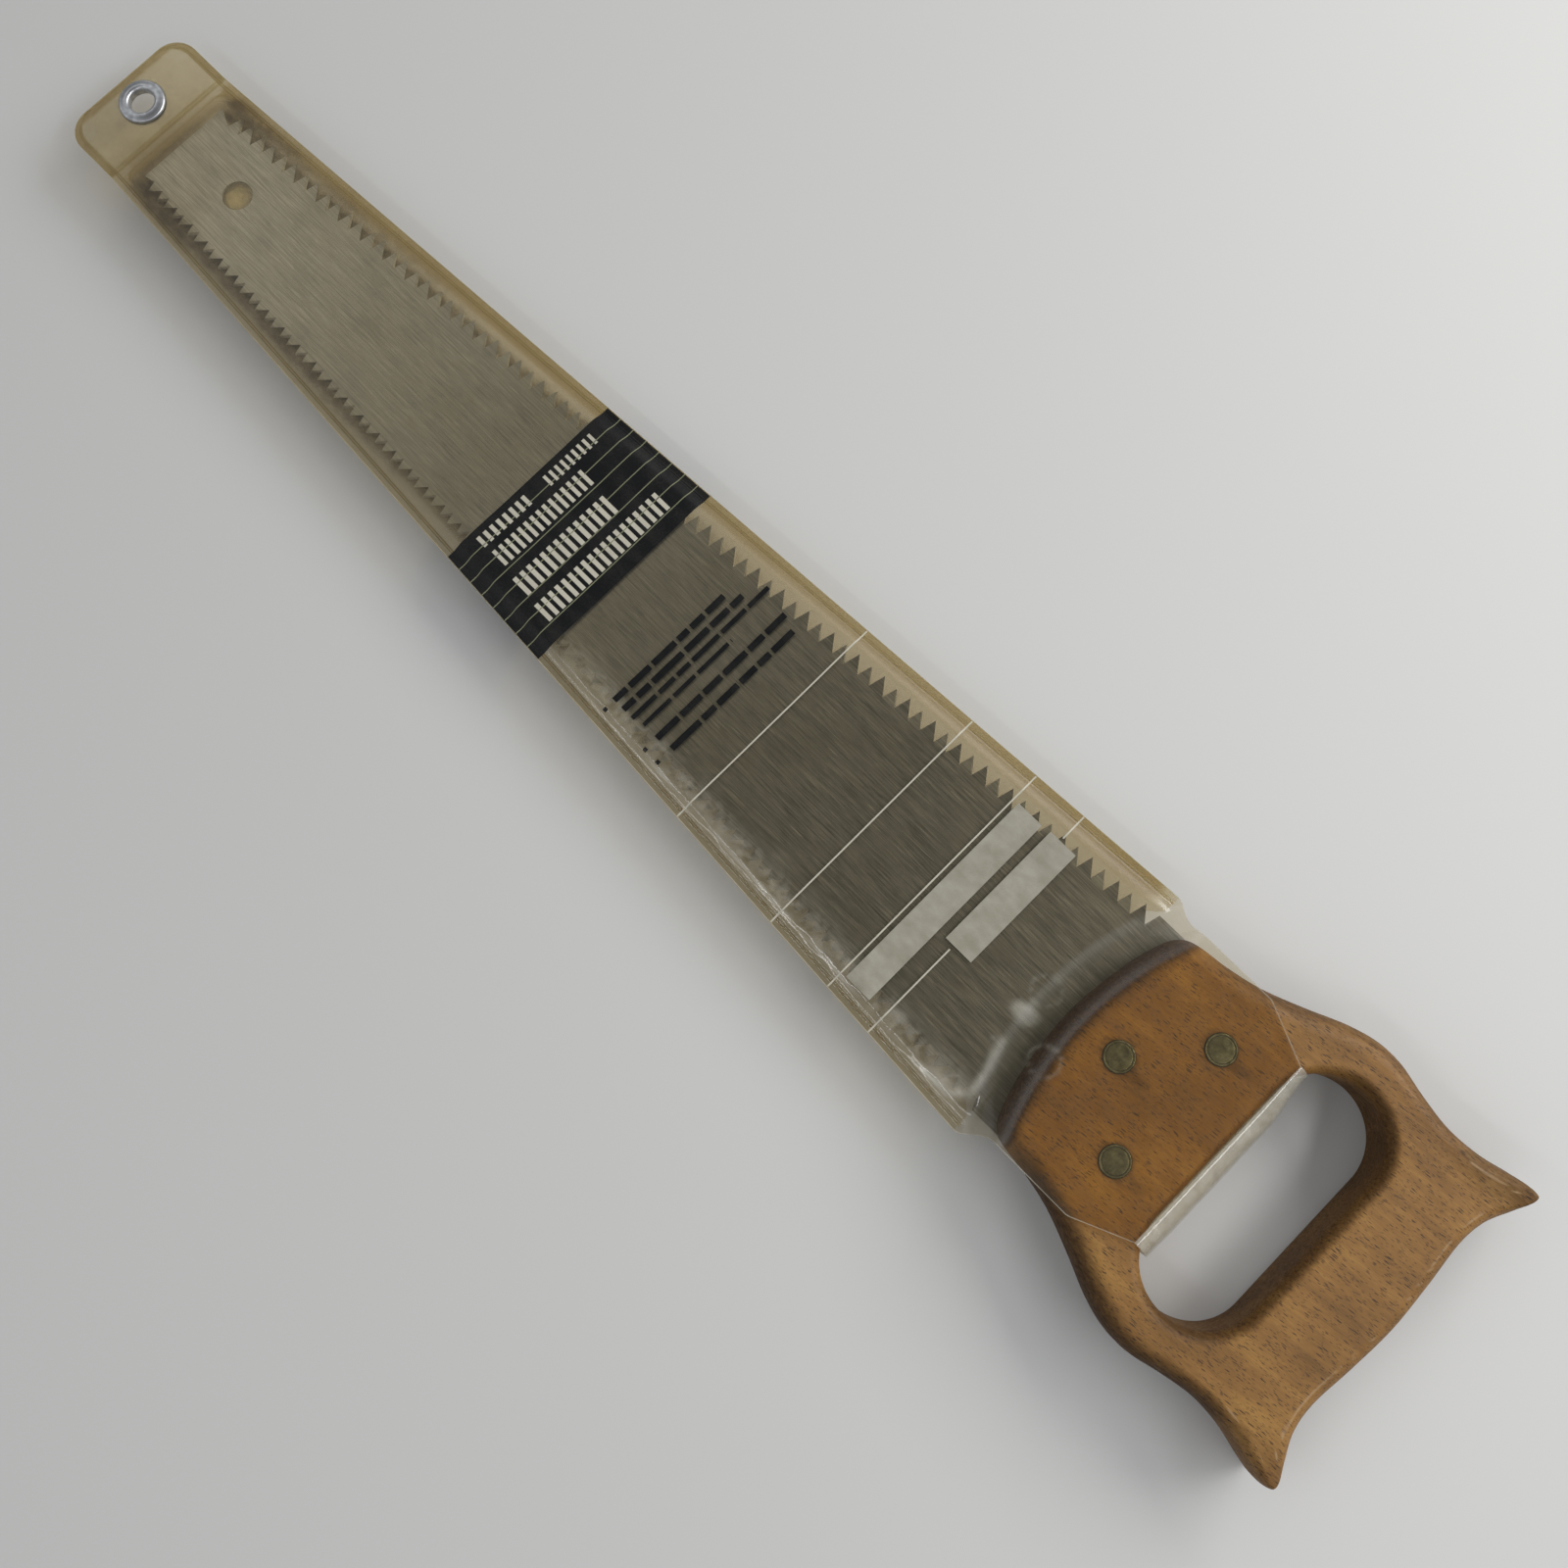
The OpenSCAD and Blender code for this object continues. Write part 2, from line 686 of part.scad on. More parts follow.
blade();
handle();
rivet_front();
rivet_coarse_side();
rivet_fine_side();
rivet_cap_front();
rivet_cap_coarse_side();
rivet_cap_fine_side();
sleeve_front();
sleeve_back();
sleeve_tongue();
sleeve_strap();
eyelet();
eyelet_washer();
label_long_slip();
label_short_slip();
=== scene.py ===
"""A double-edged pruning saw in its clear vinyl sleeve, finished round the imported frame."""

import math

import bmesh
import bpy
import numpy as np
from mathutils import Matrix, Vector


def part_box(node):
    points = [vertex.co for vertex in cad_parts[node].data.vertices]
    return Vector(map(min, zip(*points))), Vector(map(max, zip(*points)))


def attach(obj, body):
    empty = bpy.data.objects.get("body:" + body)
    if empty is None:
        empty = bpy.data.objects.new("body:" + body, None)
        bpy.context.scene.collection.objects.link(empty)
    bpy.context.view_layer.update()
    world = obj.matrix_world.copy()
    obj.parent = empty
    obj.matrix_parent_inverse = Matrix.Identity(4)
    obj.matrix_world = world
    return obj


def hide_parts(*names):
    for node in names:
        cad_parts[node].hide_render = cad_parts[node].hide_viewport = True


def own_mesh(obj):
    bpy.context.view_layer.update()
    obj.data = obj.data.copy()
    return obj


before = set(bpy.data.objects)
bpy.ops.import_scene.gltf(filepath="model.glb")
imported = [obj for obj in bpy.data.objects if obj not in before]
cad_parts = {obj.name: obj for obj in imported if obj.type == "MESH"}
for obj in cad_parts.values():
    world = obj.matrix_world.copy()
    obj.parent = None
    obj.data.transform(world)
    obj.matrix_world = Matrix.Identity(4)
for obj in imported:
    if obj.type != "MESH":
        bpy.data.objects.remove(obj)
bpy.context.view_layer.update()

# The saw's own measures, in millimetres: x runs from the toe of the blade towards the handle,
# y from the centre line towards the coarse teeth, and z up from the plane of the blade.
MM = 0.001
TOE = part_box("blade")[0].x
PLANE = (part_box("handle")[0].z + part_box("handle")[1].z) / 2
ORIGIN = np.array([TOE, 0, PLANE])


def side(node, corner, axis):
    """One side of a node's box, in millimetres. corner is 0 for the lowest and 1 for the highest."""
    return (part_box(node)[corner][axis] - ORIGIN[axis]) / MM


# Blade. The half widths are over the points of the teeth.
BLADE_LEN = side("handle", 0, 0)
TANG_LEN = side("blade", 1, 0) - BLADE_LEN
TOE_HALF = 19.2
HEEL_HALF = 39.2
TOE_HOLE_X = 26.9

# Handle. HOLE is the hand hole, RIM its rounding, and SIDE_FLAT half the height of the flat round the sides.
HANDLE_END = side("handle", 1, 0)
HANDLE_HALF = side("handle", 1, 1)
WOOD_Z = side("handle", 1, 2)
FRONT_R = 104
HOLE_X0, HOLE_X1 = BLADE_LEN + 55, HANDLE_END - 34.6
HOLE_R = (HOLE_X1 - HOLE_X0) / 2
HOLE_X = (HOLE_X0 + HOLE_X1) / 2
HOLE_HALF = 41.6 - HOLE_R
RIM_W, RIM_H = 3.4, 5
SIDE_FLAT = 2
KERF = 1.1
GRAIN_TURN = math.radians(6.5)

# Rivets
HEAD_R, HEAD_T = 4.65, 1.4
HEAD_TOP = side("rivet_front", 1, 2)
HEAD_UNDER = HEAD_TOP - HEAD_T
HEAD_RING_R, HEAD_RING_DEPTH = HEAD_R - 0.75, 0.09
HEAD_ROUNDING = 0.28
PIN_R, PIN_END = 1.8, 1 - HEAD_UNDER
TUBE_R, TUBE_END = 3, 0.4 - HEAD_UNDER
PIN_PLAY, RIVET_PLAY = 0.04, 0.1
RIVETS = {name: [(side(f"rivet_{name}", 0, axis) + side(f"rivet_{name}", 1, axis)) / 2 for axis in (0, 1)]
          for name in ("front", "coarse_side", "fine_side")}

# Sleeve. POCKET_Z and OVER_Z are the film's heights over the blade and over the wood. The front film lifts
# from LIFT_X0 to LIFT_X1, and its flap is cut at a slant from CUT_X to the strap.
FILM = 0.45
POCKET_Z = 1.1
OVER_Z = side("sleeve_strap", 1, 2) - FILM
TAB_LEN = -side("sleeve_front", 0, 0)
TAB_R = 8.5
POCKET_END = 5
SEAL_X = -POCKET_END - 3
WELD_W = 1.9
WELD_LINE_GAP, WELD_LINE_DEPTH = 0.7, 0.16
STRAP_X = side("sleeve_front", 1, 0)
STRAP_BELLY = side("sleeve_strap", 1, 0) - STRAP_X - FILM
STRAP_HALF = side("sleeve_strap", 1, 1)
FLAP_CUT = 17.8
CUT_X = STRAP_X - FLAP_CUT
FLAP_HALF = HEEL_HALF + 2.4
SHOULDER = 8.6
LIFT_X0, LIFT_X1 = BLADE_LEN - 12, BLADE_LEN + 5.5
TOE_MARGIN, MOUTH_MARGIN = 5.9, 7.8
NOTCH = 6
LAP_X = side("sleeve_tongue", 0, 0)

# Eyelet
EYELET_R, EYELET_BORE, EYELET_WALL = 7.8, 4.2, 0.5
EYELET_X = side("eyelet", 0, 0) + EYELET_R
EYELET_H = 1.3
WASHER_T = 0.5

# Print and slips: how far they stand off the film, their thickness, and their places.
GAP, INK = 0.02, 0.03
ON_BAND = GAP + INK + 0.01
SLIP_T = 0.1
PRINT_STEP = 1.5
PRINT_EDGE = 0.3
BAND_X0, BAND_X1 = 165, 208.4
GOLD_X0, GOLD_PITCH, GOLD_COUNT, GOLD_W = BAND_X0 + 5.4, 5.45, 7, 0.3
RULE_W = 0.5
RULES = [(272.6, -99, 99), (314.4, -99, 99), (339.3, -99, 99), (356.8, -99, -11), (357.6, 35.6, 99)]
BAR_GAP, BLOCK_GAP, BULLET = 1.2, 1.3, 1.3
# Broken lines nearer the handle: place along, first and last place across, height.
BAR_LINES = [(233.4, -29, 17, 2), (237.4, -29, 21, 2), (241.4, -29, 29, 1.5), (245.4, -28, 9, 1.3),
             (250.8, -28, 26, 2), (256.2, -27, 24, 2)]
BULLETS_X, BULLETS_Y = (233.8, 251.2, 256.6), -33.5
# Rows of blocks on the band: place along, height, first and last place across, count.
BLOCK_ROWS = [(167.4, 4, -24, -4, 8), (167.4, 4, 4, 24, 9), (174, 6.2, -23.5, 14, 15),
              (184.9, 7.2, -25, 13, 14), (195.7, 7, -26, 25, 19)]


# FORMULAS


def ease(t):
    """Smooth step from 0 to 1: 3t² - 2t³, with t held between 0 and 1."""
    t = np.clip(t, 0, 1)
    return t * t * (3 - 2 * t)


def mix(a, b, t):
    """Straight blend from a to b."""
    return a + (b - a) * t


def hump(t):
    """Round bump of height 1 at t = 0 that has died away at t = 2: e to the power -t²."""
    return np.exp(-np.square(t))


def ripple(x, y, size, seed, cells=128):
    """Smooth noise from -1 to 1: random heights on a lattice of squares, joined by smooth steps."""
    table = np.random.default_rng(seed).uniform(-1, 1, (cells, cells))
    i, j = np.floor(x / size).astype(int), np.floor(y / size).astype(int)
    u, v = ease(x / size - i), ease(y / size - j)
    near = mix(table[i % cells, j % cells], table[(i + 1) % cells, j % cells], u)
    far = mix(table[i % cells, (j + 1) % cells], table[(i + 1) % cells, (j + 1) % cells], u)
    return mix(near, far, v)


def stations(start, end, step):
    """Even places from start to end, as near as can be to a step apart."""
    return np.linspace(start, end, max(2, round((end - start) / step) + 1))


# SHAPES


def quads(rows, columns, round_rows=False, round_columns=False):
    """Corners of the faces between the points of a grid, the last row or column joined to the first if it
    goes round. The faces look up if rows run along x and columns along y."""
    i = np.arange(rows if round_rows else rows - 1)[:, None]
    j = np.arange(columns if round_columns else columns - 1)[None]
    below, beside = (i + 1) % rows, (j + 1) % columns
    corners = (i * columns + j, below * columns + j, below * columns + beside, i * columns + beside)
    return np.stack(np.broadcast_arrays(*corners), -1).reshape(-1, 4)


def shell(upper, lower):
    """Closed sheet: the upper grid, the lower grid turned over, and a rim that joins their borders."""
    rows, columns = upper.shape[:2]
    count = rows * columns
    number = np.arange(count).reshape(rows, columns)
    border = np.concatenate([number[0], number[1:, -1], number[-1, -2::-1], number[-2:0:-1, 0]])
    onward = np.roll(border, -1)
    rim = np.stack([border, onward, onward + count, border + count], -1)
    top = quads(rows, columns)
    return (np.concatenate([upper.reshape(-1, 3), lower.reshape(-1, 3)]),
            np.concatenate([top, top[:, ::-1] + count, rim]))


def turned(profile, at, steps=96, closed=False):
    """A profile of (radius, height) pairs carried round an upright axis at the place given."""
    angle = np.linspace(0, 2 * np.pi, steps, endpoint=False)
    radius, height = np.asarray(profile, float).T[:, :, None]
    x, y = at[0] + radius * np.cos(angle), at[1] + radius * np.sin(angle)
    points = np.stack([x, y, height + 0 * angle], -1)
    return points.reshape(-1, 3), quads(len(profile), steps, closed, True)[:, ::-1]


def rod(at, radius, z0, z1):
    """Upright cylinder."""
    return turned([(0, z0), (radius, z0), (radius, z1), (0, z1)], at)


def block(low, high):
    """Box between two corners."""
    pick = np.indices((2, 2, 2)).reshape(3, -1).T
    corners = np.where(pick, high, low).astype(float)
    faces = [[0, 1, 3, 2], [4, 6, 7, 5], [0, 4, 5, 1], [2, 3, 7, 6], [0, 2, 6, 4], [1, 5, 7, 3]]
    return corners, np.array(faces)


def together(*parts):
    """Several (points, faces) pairs as one."""
    starts = np.cumsum([0] + [len(points) for points, _ in parts[:-1]])
    return (np.concatenate([points for points, _ in parts]),
            np.concatenate([faces + start for start, (_, faces) in zip(starts, parts)]))


def mesh_of(name, shape):
    """Mesh of (points, faces) in the saw's millimetres. Points in one place are joined, which closes the
    poles."""
    points, faces = shape
    mesh = bpy.data.meshes.new(name)
    mesh.from_pydata((points * MM + ORIGIN).tolist(), [], faces.tolist())
    work = bmesh.new()
    work.from_mesh(mesh)
    bmesh.ops.remove_doubles(work, verts=work.verts, dist=0.001 * MM)
    bmesh.ops.recalc_face_normals(work, faces=work.faces)
    work.to_mesh(mesh)
    work.free()
    return mesh


def cut(target, cutters):
    """Takes closed shapes out of an object."""
    tools = []
    for shape in cutters:
        tool = bpy.data.objects.new("cutter", mesh_of("cutter", shape))
        bpy.context.collection.objects.link(tool)
        change = target.modifiers.new("cut", "BOOLEAN")
        change.operation, change.solver, change.object = "DIFFERENCE", "MANIFOLD", tool
        tools.append(tool)
    view = bpy.context.evaluated_depsgraph_get()
    mesh = bpy.data.meshes.new_from_object(target.evaluated_get(view))
    target.modifiers.clear()
    target.data = mesh
    for tool in tools:
        bpy.data.objects.remove(tool)


def piece(name, shape, material, body, slot, stands_for=(), holes=(), marks=None, crease=40):
    """Makes a piece from a shape and gives it its place in the assembly. holes are shapes cut out of it, and
    marks is a function that gives the piece's attributes from its points, each an array or one number.
    crease is the angle, in degrees, past which two faces meet in a sharp edge."""
    made = bpy.data.objects.new(name, mesh_of(name, shape))
    bpy.context.collection.objects.link(made)
    if holes:
        cut(made, holes)
    mesh = made.data
    mesh.name = name
    if marks:
        points = np.empty(len(mesh.vertices) * 3)
        mesh.vertices.foreach_get("co", points)
        x, y, z = ((points.reshape(-1, 3) - ORIGIN) / MM).T
        for label, values in marks(x, y, z).items():
            values = np.clip(values, 0, 1) + np.zeros(len(x))
            mesh.attributes.new(label, "FLOAT", "POINT").data.foreach_set("value", values)
    mesh.polygons.foreach_set("use_smooth", np.ones(len(mesh.polygons), bool))
    mesh.set_sharp_from_angle(angle=math.radians(crease))
    mesh.materials.clear()
    mesh.materials.append(material)
    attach(made, body)
    if stands_for:
        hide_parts(*stands_for)
    return made


def on_sleeve(name, shape, material, slot="vinyl", **rest):
    """A thin piece of film, ink or paper that moves with the sleeve."""
    return piece(name, shape, material, "sheath", slot, crease=60, **rest)


# MATERIALS


# Numbers of a colour Mix node's sockets: its amount, its two colours, and the blend that comes out.
AMOUNT, UNDER, OVER, BLEND = 0, 6, 7, 2


def colour(code):
    """sRGB hex value as linear colour."""
    part = np.array([int(code[i:i + 2], 16) for i in (1, 3, 5)]) / 255
    return (*np.where(part <= 0.04045, part / 12.92, ((part + 0.055) / 1.055) ** 2.4), 1)


def add(tree, kind, values=(), stops=(), **settings):
    """Adds a node with its settings and gives back its outputs. values go to its inputs, in their order or
    by name or number, and each is a number, a hex colour or the output that feeds it. stops are a ramp's
    places and hex colours."""
    made = tree.nodes.new("ShaderNode" + kind)
    for name, value in settings.items():
        setattr(made, name, value)
    for name, value in values.items() if isinstance(values, dict) else enumerate(values):
        if isinstance(value, bpy.types.NodeSocket):
            tree.links.new(value, made.inputs[name])
        else:
            made.inputs[name].default_value = colour(value) if isinstance(value, str) else value
    if stops:
        bar = made.color_ramp.elements
        while len(bar) < len(stops):
            bar.new(0.5)
        for mark, (place, code) in zip(bar, stops):
            mark.position = place
            mark.color = colour(code)
    return made.outputs


def finish(name):
    """New material and its empty tree."""
    made = bpy.data.materials.new(name)
    made.use_nodes = True
    made.node_tree.nodes.clear()
    return made, made.node_tree


def sized(tree, size, turn=0):
    """Place on the piece, counted in steps of size = (x, y, z) millimetres, along axes turned about z."""
    return add(tree, "Mapping", {"Vector": add(tree, "TexCoord")["Object"], "Rotation": (0, 0, turn),
                                 "Scale": [length * MM for length in size]}, vector_type="TEXTURE")[0]


def grain(tree, size, turn=0, detail=3, roughness=0.5):
    """Noise whose features are size = (x, y, z) millimetres long, turned about z."""
    return add(tree, "TexNoise", {"Vector": sized(tree, size, turn), "Scale": 1, "Detail": detail,
                                  "Roughness": roughness})["Fac"]


def flecks(tree, size, turn, least, most):
    """Scattered long spots, one in each cell of a size in millimetres. least and most are their reach in
    cells."""
    cells = add(tree, "TexVoronoi", {"Vector": sized(tree, size, turn), "Scale": 1, "Randomness": 1})
    draw = add(tree, "SeparateXYZ", {"Vector": cells["Color"]})["X"]
    reach = add(tree, "MapRange", (draw, 0, 1, least, most))[0]
    share = add(tree, "Math", (cells["Distance"], reach), operation="DIVIDE")[0]
    return add(tree, "MapRange", (share, 1, 0.65))[0]


def brushed_steel():
    """Spring steel with hard chrome, ground lengthwise: fine bright and dark streaks, scratched, dulled and
    stained. Its colour is painted lighter over the 150 mm next to the toe, a painted reflection of the
    brighter room there."""
    made, tree = finish("hard_chromed_steel_brushed")
    fine = grain(tree, (11, 0.22, 2), detail=3, roughness=0.65)
    bands = grain(tree, (15, 0.6, 4), detail=5, roughness=0.6)
    mottle = grain(tree, (9, 5, 5), detail=5, roughness=0.65)
    streaks = add(tree, "Math", (bands, 0.4, fine), operation="MULTIPLY_ADD")[0]
    streaks = add(tree, "Math", (mottle, 0.4, streaks), operation="MULTIPLY_ADD")[0]
    x = add(tree, "SeparateXYZ", {"Vector": add(tree, "TexCoord")["Object"]})["X"]
    # Painted reflection: the lighter ramp, over the 150 mm next to the toe, stands for the brighter room
    # mirrored there, the darker ramp for the rest of the blade.
    along = add(tree, "MapRange", (x, TOE, TOE + 150 * MM))[0]
    tone = add(tree, "MapRange", (streaks, 0.7, 1.1))[0]
    bright = add(tree, "ValToRGB", [tone], stops=[(0, "#95989e"), (0.5, "#babdc5"), (1, "#dddfe6")])["Color"]
    dull = add(tree, "ValToRGB", [tone], stops=[(0, "#8a8b88"), (0.5, "#a1a29f"), (1, "#b9b9b6")])["Color"]
    metal = add(tree, "Mix", {AMOUNT: along, UNDER: bright, OVER: dull}, data_type="RGBA")[BLEND]
    stain = add(tree, "MapRange", (mottle, 0.54, 0.76, 0, 0.35))[0]
    metal = add(tree, "Mix", {AMOUNT: stain, UNDER: metal, OVER: "#776a5c"}, data_type="RGBA")[BLEND]
    scratch = add(tree, "Math", (flecks(tree, (30, 1.3, 3), 0.03, 0.04, 0.12), 0.5), operation="MULTIPLY")[0]
    metal = add(tree, "Mix", {AMOUNT: scratch, UNDER: metal, OVER: "#f0efe8"}, data_type="RGBA")[BLEND]
    rough = add(tree, "MapRange", (fine, 0.3, 0.7, 0.3, 0.42))[0]
    bump = add(tree, "Bump", {"Height": fine, "Strength": 0.3, "Distance": 0.02 * MM})[0]
    add(tree, "OutputMaterial", {"Surface": add(tree, "BsdfPrincipled", {
        "Base Color": metal, "Metallic": 1, "Roughness": rough, "Normal": bump})[0]})
    return made


def varnished_beech():
    """Steamed beech with a thin varnish, worn by hands: short dark flecks along the grain, and dirt with
    painted shade in the roundings and down the sides. Under the film the varnish has kept its deeper orange."""
    made, tree = finish("beech_varnished_worn")
    long = flecks(tree, (4, 0.52, 1.6), GRAIN_TURN, 0.15, 0.33)
    short = flecks(tree, (2.2, 0.34, 1.1), GRAIN_TURN + 0.02, 0.14, 0.32)
    spots = add(tree, "Math", (long, short), operation="MAXIMUM")[0]
    pores = grain(tree, (3, 0.2, 0.6), GRAIN_TURN, detail=2)
    figure = grain(tree, (60, 2.5, 5), GRAIN_TURN, detail=4, roughness=0.6)
    cloud = grain(tree, (25, 14, 9), GRAIN_TURN, detail=3)
    rub = grain(tree, (6, 1, 1), GRAIN_TURN, detail=5, roughness=0.7)

    def rubbed(label, low, high, most):
        """How far a mark covers the wood, broken up as by rubbing."""
        mark = add(tree, "Attribute", attribute_name=label)["Fac"]
        mark = add(tree, "Math", (rub, 0.9, mark), operation="MULTIPLY_ADD")[0]
        return add(tree, "MapRange", (mark, low, high, 0, most))[0]

    tone = add(tree, "Math", (figure, 0.6, cloud), operation="MULTIPLY_ADD")[0]
    tone = add(tree, "Math", (pores, 0.6, tone), operation="MULTIPLY_ADD")[0]
    tone = add(tree, "MapRange", (tone, 0.8, 1.4))[0]
    wood = add(tree, "ValToRGB", [tone], stops=[(0, "#6a4a20"), (0.5, "#835d2c"), (1, "#9a7238")])["Color"]
    covered = add(tree, "Attribute", attribute_name="covered")["Fac"]
    wood = add(tree, "Mix", {AMOUNT: covered, UNDER: wood, OVER: "#fff4a2"}, data_type="RGBA",
               blend_type="MULTIPLY")[BLEND]
    # Dirt and painted shade: the darkened roundings and sides, mixed in dark brown below.
    dirt_and_shade = rubbed("dirt_and_shade", 0.6, 1.45, 0.95)
    worn = rubbed("worn", 0.8, 1.4, 0.6)
    for amount, code in ((spots, "#33200b"), (dirt_and_shade, "#2f1e0e"), (worn, "#a98e6c")):
        wood = add(tree, "Mix", {AMOUNT: amount, UNDER: wood, OVER: code}, data_type="RGBA")[BLEND]
    relief = add(tree, "Math", (pores, spots), operation="SUBTRACT")[0]
    add(tree, "OutputMaterial", {"Surface": add(tree, "BsdfPrincipled", {
        "Base Color": wood, "Roughness": add(tree, "MapRange", (rub, 0.3, 0.7, 0.52, 0.68))[0], "IOR": 1.45,
        "Specular IOR Level": add(tree, "MapRange", (dirt_and_shade, 0, 1, 0.5, 0.15))[0],
        "Normal": add(tree, "Bump", {"Height": relief, "Strength": 0.4, "Distance": 0.06 * MM})[0]})[0]})
    return made


def clear_vinyl():
    """Soft PVC film, yellowed: light passes with a tint, a thin milky haze lies over it, and its face is
    glossy towards the mouth and dull towards the toe. The haze also carries painted glare, and the tint
    painted shade in the weld lines.
    The reflection is Schlick's, 0.06 + 0.94 (1 - cos)^5. Only the face through which a ray enters the sheet
    has it, for both faces at once."""
    made, tree = finish("clear_pvc_film_yellowed")
    age, haze_and_glare, grime, line = (add(tree, "Attribute", attribute_name=label)["Fac"]
                              for label in ("age", "haze_and_glare", "grime", "line"))
    cloud = grain(tree, (5, 3.5, 5), detail=6, roughness=0.75)
    patches = add(tree, "MapRange", (cloud, 0.38, 0.62, 0.3, 1))[0]
    smudge = add(tree, "Math", (grime, patches), operation="MULTIPLY")[0]
    tint = add(tree, "ValToRGB", [age], stops=[(0, "#f9f5eb"), (0.5, "#f5f0e3"), (1, "#e9e0c8")])["Color"]
    # The lines tint the film darker as painted shade in the weld grooves and round the pocket's end; the
    # smudges are grime.
    for amount, code in ((line, "#dfd4ac"), (smudge, "#b3a169")):
        tint = add(tree, "Mix", {AMOUNT: amount, UNDER: tint, OVER: code}, data_type="RGBA")[BLEND]
    clear = add(tree, "BsdfTransparent", {"Color": tint})[0]

    pale = add(tree, "ValToRGB", [age], stops=[(0, "#d9d8d0"), (0.35, "#cfc7a6"), (1, "#c2b684")])["Color"]
    dirty = add(tree, "MapRange", (smudge, 0.01, 0.1))[0]
    pale = add(tree, "Mix", {AMOUNT: dirty, UNDER: pale, OVER: "#28210f"}, data_type="RGBA")[BLEND]
    haze = add(tree, "BsdfPrincipled", {"Base Color": pale, "Roughness": 0.6, "Specular IOR Level": 0.2})[0]
    uneven = add(tree, "MapRange", (cloud, 0.3, 0.7, 0.55, 1.45))[0]
    veil = add(tree, "Math", (haze_and_glare, uneven), operation="MULTIPLY")[0]
    cover = add(tree, "Math", (smudge, 0.3, veil), operation="MULTIPLY_ADD")[0]
    cover = add(tree, "Math", (cover, 1), operation="MINIMUM")[0]
    body = add(tree, "MixShader", (cover, clear, haze))[0]

    bump = add(tree, "Bump", {"Height": grain(tree, (2.5, 1.6, 2), detail=3), "Strength": 0.25,
                              "Distance": 0.05 * MM})[0]
    facing = add(tree, "LayerWeight", {"Normal": bump})["Facing"]
    mirror = add(tree, "Math", (facing, 5), operation="POWER")[0]
    mirror = add(tree, "Math", (mirror, 0.94, 0.06), operation="MULTIPLY_ADD")[0]
    outside = add(tree, "Math", (1, add(tree, "NewGeometry")["Backfacing"]), operation="SUBTRACT")[0]
    mirror = add(tree, "Math", (mirror, outside), operation="MULTIPLY")[0]
    dull = add(tree, "MapRange", (age, 0, 0.5, 0.07, 0.38))[0]
    gloss = add(tree, "BsdfGlossy", {"Roughness": dull, "Normal": bump})[0]
    add(tree, "OutputMaterial", {"Surface": add(tree, "MixShader", (mirror, body, gloss))[0]})
    return made


def tarnished_brass():
    """Brass rivet heads, turned flat and tarnished: olive brown, blotchy, dull."""
    made, tree = finish("brass_tarnished")
    blotch = grain(tree, (2.2, 2.2, 2.2), detail=5, roughness=0.65)
    scratch = grain(tree, (2, 0.12, 0.6), 0.6, detail=2)
    tones = [(0.3, "#454331"), (0.5, "#68664e"), (0.72, "#8f8c71")]
    metal = add(tree, "ValToRGB", [blotch], stops=tones)["Color"]
    # Dirt in the ring, and painted shade at the head's edge and side.
    dirt_and_shade = add(tree, "Attribute", attribute_name="dirt_and_shade")["Fac"]
    metal = add(tree, "Mix", {AMOUNT: dirt_and_shade, UNDER: metal, OVER: "#2d281b"}, data_type="RGBA")[BLEND]
    rough = add(tree, "MapRange", (blotch, 0.3, 0.7, 0.5, 0.36))[0]
    bump = add(tree, "Bump", {"Height": scratch, "Strength": 0.3, "Distance": 0.02 * MM})[0]
    add(tree, "OutputMaterial", {"Surface": add(tree, "BsdfPrincipled", {
        "Base Color": metal, "Metallic": 0.85, "Roughness": rough, "Normal": bump})[0]})
    return made


def nickel_plate():
    """Nickel-plated brass of the eyelet, pressed and rolled: bright but fine-scratched, dark where dirt sits
    and with painted shade under its rolled edge."""
    made, tree = finish("nickel_plate_scratched")
    blotch = grain(tree, (1.5, 1.5, 1.5), detail=4)
    scratch = grain(tree, (0.7, 0.7, 0.7))
    metal = add(tree, "ValToRGB", [blotch], stops=[(0.3, "#a6a8ac"), (0.7, "#d0d2d5")])["Color"]
    # Dirt in the channel, and painted shade under the rolled edge.
    dirt_and_shade = add(tree, "Attribute", attribute_name="dirt_and_shade")["Fac"]
    metal = add(tree, "Mix", {AMOUNT: dirt_and_shade, UNDER: metal, OVER: "#45464a"}, data_type="RGBA")[BLEND]
    rough = add(tree, "MapRange", (blotch, 0.3, 0.7, 0.46, 0.32))[0]
    bump = add(tree, "Bump", {"Height": scratch, "Strength": 0.3, "Distance": 0.03 * MM})[0]
    add(tree, "OutputMaterial", {"Surface": add(tree, "BsdfPrincipled", {
        "Base Color": metal, "Metallic": 1, "Roughness": rough, "Normal": bump})[0]})
    return made


def label_paper():
    """Uncoated paper of the slips, greyed: short fibres and faint stains."""
    made, tree = finish("paper_uncoated_greyed")
    fibre = grain(tree, (0.6, 0.15, 0.4), 0.8, detail=2)
    stain = grain(tree, (6, 4, 4), detail=4)
    tone = add(tree, "Math", (fibre, 0.35, stain), operation="MULTIPLY_ADD")[0]
    tone = add(tree, "MapRange", (tone, 0.45, 0.9))[0]
    paper = add(tree, "ValToRGB", [tone], stops=[(0, "#888475"), (1, "#9e9b8e")])["Color"]
    add(tree, "OutputMaterial", {"Surface": add(tree, "BsdfPrincipled", {
        "Base Color": paper, "Roughness": 0.75, "IOR": 1.5})[0]})
    return made


